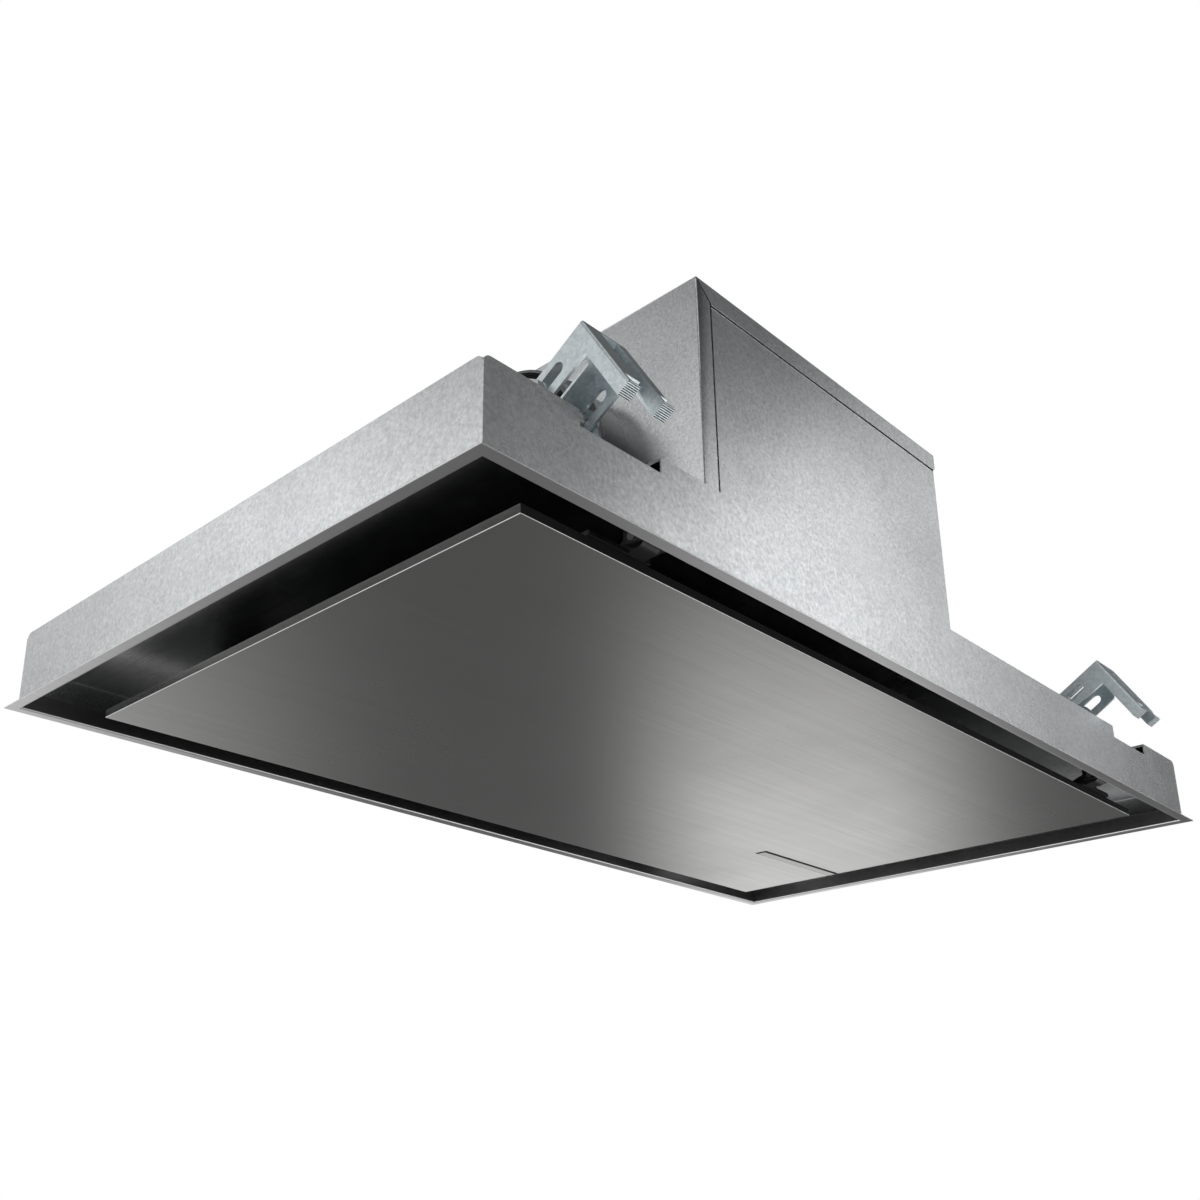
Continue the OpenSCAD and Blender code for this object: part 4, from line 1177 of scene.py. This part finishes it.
class HOOD_OT_box(HoodBuilder, Operator):
    """Builds the blower box's walls and lid"""

    bl_idname = "hood.build_box"
    bl_label = "Build Blower Box"

    def build(self, scene):
        fold, edge = scene.hood_sheet.fold_radius, scene.hood_sheet.edge_radius
        for node in ("box_left", "box_right", "box_front", "box_back"):
            low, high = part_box(node)
            folds = [(fold * 0.75, 3, self.outer_fold(node, low, high))]
            if node == "box_left":
                strip_end = both(on_plane(0, low.x + 28 * MM), on_plane(1, low.y))
                folds.append((0.8 * MM, 3, both(strip_end, longer_than(60 * MM))))
                # The faces in the mitre slit get the near-black finish: painted shade in the slit.
                paint_shade(dress(node, node + "_wall", folds, edge), self.in_mitre)
            elif node == "box_front":
                self.front_wall(node, folds, edge)
            else:
                dress(node, node + "_wall", folds, edge)
        self.lid(fold, edge)

    def outer_fold(self, node, low, high):
        """A test for the long fold between a wall and its flange."""
        flange, lifted = 12 * MM, low.z + 1 * MM
        places = {
            "box_left": (on_plane(0, low.x + flange), on_plane(1, low.y)),
            "box_right": (on_plane(0, high.x - flange), on_plane(1, low.y)),
            "box_front": (on_plane(1, low.y + flange), on_plane(2, lifted)),
            "box_back": (on_plane(1, high.y - flange), on_plane(2, lifted)),
        }
        return both(*places[node], longer_than(60 * MM))

    def front_wall(self, node, folds, edge):
        """The front wall, with painted shade where the corner strip and the lid's rim lie over it.
        """
        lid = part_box("box_lid")[0]
        strip_end, rim_end = lid.x + 18.4 * MM, lid.z - 1.1 * MM
        bm = rounded(node, folds, edge)
        for place, normal in (((strip_end, 0, 0), (1, 0, 0)), ((0, 0, rim_end), (0, 0, 1))):
            every = [*bm.verts, *bm.edges, *bm.faces]
            bmesh.ops.bisect_plane(
                bm, geom=every, plane_co=place, plane_no=normal, dist=TOUCHING
            )
        wall = stand_for(bm, node + "_wall", node)
        paint_shade(wall, lambda at, out: out.y < -0.9 and (at.x < strip_end or at.z > rim_end))

    def lid(self, fold, edge):
        low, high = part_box("box_lid")
        corners = on_plane(0, low.x, high.x), on_plane(1, low.y, high.y), longer_than(6 * MM)
        top = both(on_plane(2, high.z), longer_than(60 * MM))

        def slanted(e):
            a, b = (v.co for v in e.verts)
            return all(abs(a[k] - b[k]) > 5 * MM for k in (0, 2))
        folds = (
            (0.9 * MM, 1, both(on_plane(1, low.y), slanted)),
            (fold * 0.8, 3, either(top, both(*corners))),
            (edge, 2, lambda e: min(v.co.z for v in e.verts) > low.z + 0.1 * MM),
        )
        # The faces in the mitre slit get the near-black finish: painted shade in the slit.
        paint_shade(dress("box_lid", "lid_sheet", folds, None), self.in_mitre)

    def in_mitre(self, at, out):
        """Whether a face lies in the slanted mitre slit at the lid's front left corner, which gets
        painted shade.
        """
        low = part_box("box_lid")[0]
        near = at.x < low.x + 22 * MM and at.y < low.y + 3 * MM and at.z > low.z - 2 * MM
        return near and abs(out.x) > 0.35 and abs(out.z) > 0.35


class HOOD_OT_collar(HoodBuilder, Operator):
    """Builds the duct collar with its stop rib, its flaps and their pin"""

    bl_idname = "hood.build_collar"
    bl_label = "Build Duct Collar"

    def build(self, scene):
        round_r = scene.hood_blower.moulding_radius
        low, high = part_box("collar_base")
        middle = (low + high) / 2
        flange_r = (high.z - low.z) / 2
        depth = high.x - low.x
        tube_r, rib_r, bore_r = 76.5 * MM, 78.5 * MM, 73.4 * MM
        flange_t, rib_t = 2 * MM, 3 * MM
        self.turned("collar_base", "collar_base_ring", middle, [
            (bore_r, 0, 0.3 * MM), (flange_r, 0, 0.5 * MM), (flange_r, flange_t, 0.6 * MM),
            (tube_r, flange_t, 0), (tube_r, depth - rib_t, 0),
            (rib_r, depth - rib_t, round_r), (rib_r, depth, round_r), (bore_r, depth, 0),
        ])
        low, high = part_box("duct_collar")
        length = high.x - low.x
        spigot_r, plug_r, bore_r, stop_r = 74.5 * MM, 73.3 * MM, 71.5 * MM, 67.5 * MM
        tip_r, tip_bore_r, tip = 73.9 * MM, 72.0 * MM, 2 * MM
        stop_low = 11.1 * MM + flange_t
        stop_high = stop_low + 2 * MM
        self.turned("duct_collar", "collar_spigot", middle, [
            (bore_r, 0, 0.4 * MM), (plug_r, 0, 0.4 * MM), (plug_r, depth, 0),
            (spigot_r, depth, 0.2 * MM), (spigot_r, length - tip, 0), (tip_r, length, 1.0 * MM),
            (tip_bore_r, length, 0.6 * MM), (bore_r, length - tip, 0), (bore_r, stop_high, 0),
            (stop_r, stop_high, 0.4 * MM), (stop_r, stop_low, 0.4 * MM), (bore_r, stop_low, 0),
        ])
        for side in ("front", "back"):
            dress("damper_flap_" + side, f"flap_{side}_blade", edge=0.25 * MM)
        keep("damper_pin")

    def turned(self, node, name, middle, outline):
        """Turns the outline round the duct's axis, from the node's inner end outwards."""
        start = Matrix.Translation((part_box(node)[1].x, middle.y, middle.z))
        turn = Matrix.Rotation(-math.pi / 2, 4, "Y")
        stand_for(lathe(filleted(outline), start @ turn), name, node)


class HOOD_OT_fan(HoodBuilder, Operator):
    """Builds the tray, the scroll housing and the cambered fan wheel"""

    bl_idname = "hood.build_fan"
    bl_label = "Build Fan"

    def build(self, scene):
        dress("fan_tray", "tray_sheet", edge=0.3 * MM)
        for node in ("scroll_base", "scroll_wall", "scroll_cover"):
            dress(node, node + "_moulding", edge=0.3 * MM)
        keep("inlet_ring")
        keep("impeller_hub")
        low, ring_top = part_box("impeller_ring")
        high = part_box("impeller")[1]
        middle = (low + high) / 2
        radius = (high.x - low.x) / 2
        ring_t = ring_top.z - low.z
        from_rim = 7.2 * MM
        blades = grown(
            "blades", blades_tree(), Blades=36, Wheel_Radius=radius - from_rim,
            Chord=12.8 * MM, Height=high.z - low.z - 2 * ring_t, Camber=scene.hood_blower.camber,
            Thickness=1.0 * MM, Lean=math.radians(35), Finish=finish_for("impeller"),
        )
        blades.transform(Matrix.Translation(middle))
        back = self.end_ring(radius, ring_t, (middle.x, middle.y, high.z - ring_t))
        back.from_mesh(blades)
        stand_for(back, "fan_wheel", "impeller")
        front = self.end_ring(radius, ring_t, (middle.x, middle.y, low.z))
        stand_for(front, "fan_wheel_ring", "impeller_ring", finish_for("impeller"))

    def end_ring(self, radius, thick, place):
        inner, soft = radius - 16 * MM, 0.4 * MM
        section = ((inner, 0, soft), (radius, 0, soft), (radius, thick, soft), (inner, thick, soft))
        return lathe(filleted(section), Matrix.Translation(place), 96)


class HOOD_OT_motor(HoodBuilder, Operator):
    """Gives the motor's pieces their finishes"""

    bl_idname = "hood.build_motor"
    bl_label = "Build Motor"

    def build(self, scene):
        dress("motor_case", "motor_shell", edge=0.5 * MM)
        for node in ("motor_stator", "motor_rotor", "motor_shaft", "motor_bearings"):
            keep(node)


class HOOD_OT_controls(HoodBuilder, Operator):
    """Builds the control box, its board, the capacitor and the cable gland"""

    bl_idname = "hood.build_controls"
    bl_label = "Build Controls"

    def build(self, scene):
        dress("control_box", "control_case", edge=0.5 * MM)
        dress("control_lid", "control_case_lid", edge=0.6 * MM)
        keep("control_board")
        dress("capacitor", "start_capacitor", edge=0.3 * MM)
        dress("cable_gland", "gland_body", edge=0.3 * MM)


class HOOD_OT_screws(HoodBuilder, Operator):
    """Builds the pan head screws that hold the sheets together"""

    bl_idname = "hood.build_screws"
    bl_label = "Build Screws"

    def build(self, scene):
        node = "sheet_screws"
        boxes = islands(node)
        low, high = boxes[0]
        template = linked(
            "screw_template", self.screw_mesh((high.x - low.x) / 2, high.z - low.z)
        )
        seats = bpy.data.meshes.new("screw_seats")
        seats.from_pydata([((a.x + b.x) / 2, (a.y + b.y) / 2, b.z) for a, b in boxes], [], [])
        mesh = grown(
            "screws", seats_tree(), seats, Part=template, Largest_Turn=math.pi,
            Seed=scene.hood_blower.turn_seed, Finish=finish_for(node),
        )
        bpy.data.objects.remove(template)
        stand_for(mesh, "pan_screws", node)

    def screw_mesh(self, head_r, length):
        """A screw with its head's top at the origin, and a cross recess sunk in the head."""
        head_t, shank_r, axis_r = 2.2 * MM, 1.9 * MM, 1e-5
        floor, widest, point = -head_t * 0.55, -head_t * 0.6, 0.6 * MM
        outline = filleted([
            (axis_r, floor, 0), (head_r * 0.42, floor, 0), (head_r * 0.5, -0.02 * MM, 0),
            (head_r * 0.74, -0.12 * MM, 0), (head_r, widest, 0.5 * MM),
            (head_r, -head_t, 0.15 * MM), (shank_r, -head_t, 0), (shank_r, point - length, 0),
            (shank_r * 0.5, -length, 0), (axis_r, -length, 0),
        ], 2)
        bm = lathe(outline, Matrix.Identity(4), 24)
        scale = Matrix.Diagonal((head_r * 0.4, 0.42 * MM, head_t * 0.3, 1.0))
        shift = Matrix.Translation((0, 0, -head_t * 0.42))
        for turn in (math.pi / 4, math.pi * 3 / 4):
            wing = bmesh.ops.create_cube(bm, size=1.0)["verts"]
            spin = Matrix.Rotation(turn, 4, "Z")
            bmesh.ops.transform(bm, matrix=shift @ spin @ scale, verts=wing)
        return mesh_from(bm, "screw")


class HOOD_OT_stage(HoodBuilder, Operator):
    """Sets up the floor, the lamps, the background and the camera"""

    bl_idname = "hood.build_stage"
    bl_label = "Build Stage"

    def build(self, scene):
        scene.view_settings.view_transform = "Standard"
        self.floor(scene.hood_stage)
        self.lamps(scene.hood_stage)
        self.world(scene)
        self.camera(scene)

    def floor(self, stage):
        """A plain floor, which fades to white and is left out of reflections."""
        bm = bmesh.new()
        bmesh.ops.create_circle(bm, cap_ends=True, segments=96, radius=14.0)
        mesh = mesh_from(bm, "floor")
        mesh.transform(Matrix.Translation((0, 0, stage.floor_level)))
        floor = linked("floor", mesh)
        material, tree, place = new_finish("Plain floor")
        matt = output(tree, "ShaderNodeBsdfDiffuse", {"Color": rgba(stage.floor_colour)})
        glow = output(tree, "ShaderNodeEmission", {"Color": WHITE, "Strength": 1.0})
        far = add(tree, "ShaderNodeVectorMath", {0: place}, operation="LENGTH").outputs["Value"]
        seen = tree.nodes.new("ShaderNodeLightPath").outputs["Is Camera Ray"]
        share = math_node(tree, "MULTIPLY", ramp(tree, far, 1.0, 2.4, 0.55, 1.0), seen)
        mixed = output(tree, "ShaderNodeMixShader", {0: share, 1: matt, 2: glow})
        add(tree, "ShaderNodeOutputMaterial", {0: mixed})
        mesh.materials.append(material)
        floor.visible_glossy = False

    def lamps(self, stage):
        rows = (
            ("key", stage.key_power, (-2.3, 0.2, 0.9), 1.8),
            ("fill", stage.fill_power, (1.6, -2.2, -0.1), 1.4),
        )
        for name, power, place, size in rows:
            light = bpy.data.lights.new(name, "AREA")
            light.energy = power
            light.size = size
            lamp = linked(name, light)
            lamp.location = place
            towards = Vector((0.0, 0.0, 0.1)) - Vector(place)
            lamp.rotation_euler = towards.to_track_quat("-Z", "Y").to_euler()

    def world(self, scene):
        """White to the camera. All other rays see a dim studio with large soft boxes."""
        world = bpy.data.worlds.new("Studio")
        scene.world = world
        world.use_nodes = True
        tree = world.node_tree
        tree.nodes.clear()
        view = tree.nodes.new("ShaderNodeTexCoord").outputs["Generated"]
        part = add(tree, "ShaderNodeSeparateXYZ", {0: view}).outputs
        around = math_node(tree, "DEGREES", math_node(tree, "ARCTAN2", part["Y"], part["X"]))
        height = math_node(tree, "DEGREES", math_node(tree, "ARCSINE", part["Z"]))
        tone = BARE_STUDIO
        for patch in STUDIO:
            tone = self.lay_patch(tree, around, height, tone, *patch)
        seen = tree.nodes.new("ShaderNodeLightPath").outputs["Is Camera Ray"]
        level = mix_value(tree, seen, tone, 1.0)
        back = output(tree, "ShaderNodeBackground", {"Color": WHITE, "Strength": level})
        add(tree, "ShaderNodeOutputWorld", {0: back})

    def lay_patch(self, tree, around, height, tone, level, middle, half, low, high, soft):
        """Lays a soft-edged patch of one brightness over the studio, in degrees."""
        off = math_node(tree, "ABSOLUTE", math_node(tree, "SUBTRACT", around, middle))
        share = 1.0
        for value, near, beyond in (
            (off, half, half + soft), (height, high, high + soft), (height, low, low - soft),
        ):
            inside = ramp(tree, value, near, beyond, 1.0, 0.0, smooth=True)
            share = math_node(tree, "MULTIPLY", share, inside)
        return mix_value(tree, share, tone, level)

    def camera(self, scene):
        """Looks up at the hood from its near left corner, as the photograph does."""
        yaw, pitch, roll = 0.802, 0.3398, -0.0031
        focal, photo_width = 1350.5, 1200
        data = bpy.data.cameras.new("camera")
        data.sensor_width = 36.0
        data.lens = focal / photo_width * data.sensor_width
        data.shift_x = 0.04
        data.shift_y = 0.12
        data.clip_start = 0.01
        data.clip_end = 60.0
        camera = linked("camera", data)
        place = Matrix.Translation((-0.8259, -0.6594, -0.3473))
        aim = Matrix.Rotation(-yaw, 4, "Z") @ Matrix.Rotation(math.pi / 2 + pitch, 4, "X")
        camera.matrix_world = place @ aim @ Matrix.Rotation(roll, 4, "Z")
        scene.camera = camera


class HOOD_PT_panel(Panel):
    """Lists the settings and the build steps"""

    bl_idname = "HOOD_PT_panel"
    bl_label = "Ceiling Hood"
    bl_space_type = "VIEW_3D"
    bl_region_type = "UI"
    bl_category = "Hood"

    def draw(self, context):
        layout = self.layout
        for attribute, kind in SETTINGS.items():
            box = layout.box()
            box.label(text=kind.__doc__)
            group = getattr(context.scene, attribute)
            for name in kind.__annotations__:
                box.prop(group, name)
        for operator in OPERATORS:
            layout.operator(operator.bl_idname)


SETTINGS = {
    "hood_sheet": HoodSheetSettings,
    "hood_panel": HoodPanelSettings,
    "hood_clamp": HoodClampSettings,
    "hood_filter": HoodFilterSettings,
    "hood_blower": HoodBlowerSettings,
    "hood_stage": HoodStageSettings,
}
OPERATORS = (
    HOOD_OT_flange, HOOD_OT_housing, HOOD_OT_decks, HOOD_OT_panel, HOOD_OT_hinges,
    HOOD_OT_filters, HOOD_OT_clamps, HOOD_OT_box, HOOD_OT_collar, HOOD_OT_fan,
    HOOD_OT_motor, HOOD_OT_controls, HOOD_OT_screws, HOOD_OT_stage,
)


def register():
    for cls in (*SETTINGS.values(), *OPERATORS, HOOD_PT_panel):
        bpy.utils.register_class(cls)
    for attribute, kind in SETTINGS.items():
        setattr(bpy.types.Scene, attribute, PointerProperty(type=kind))


def unregister():
    for attribute in SETTINGS:
        delattr(bpy.types.Scene, attribute)
    for cls in reversed((*SETTINGS.values(), *OPERATORS, HOOD_PT_panel)):
        bpy.utils.unregister_class(cls)


def main():
    register()
    for operator in OPERATORS:
        family, name = operator.bl_idname.split(".")
        getattr(getattr(bpy.ops, family), name)()


if __name__ == "__main__":
    main()
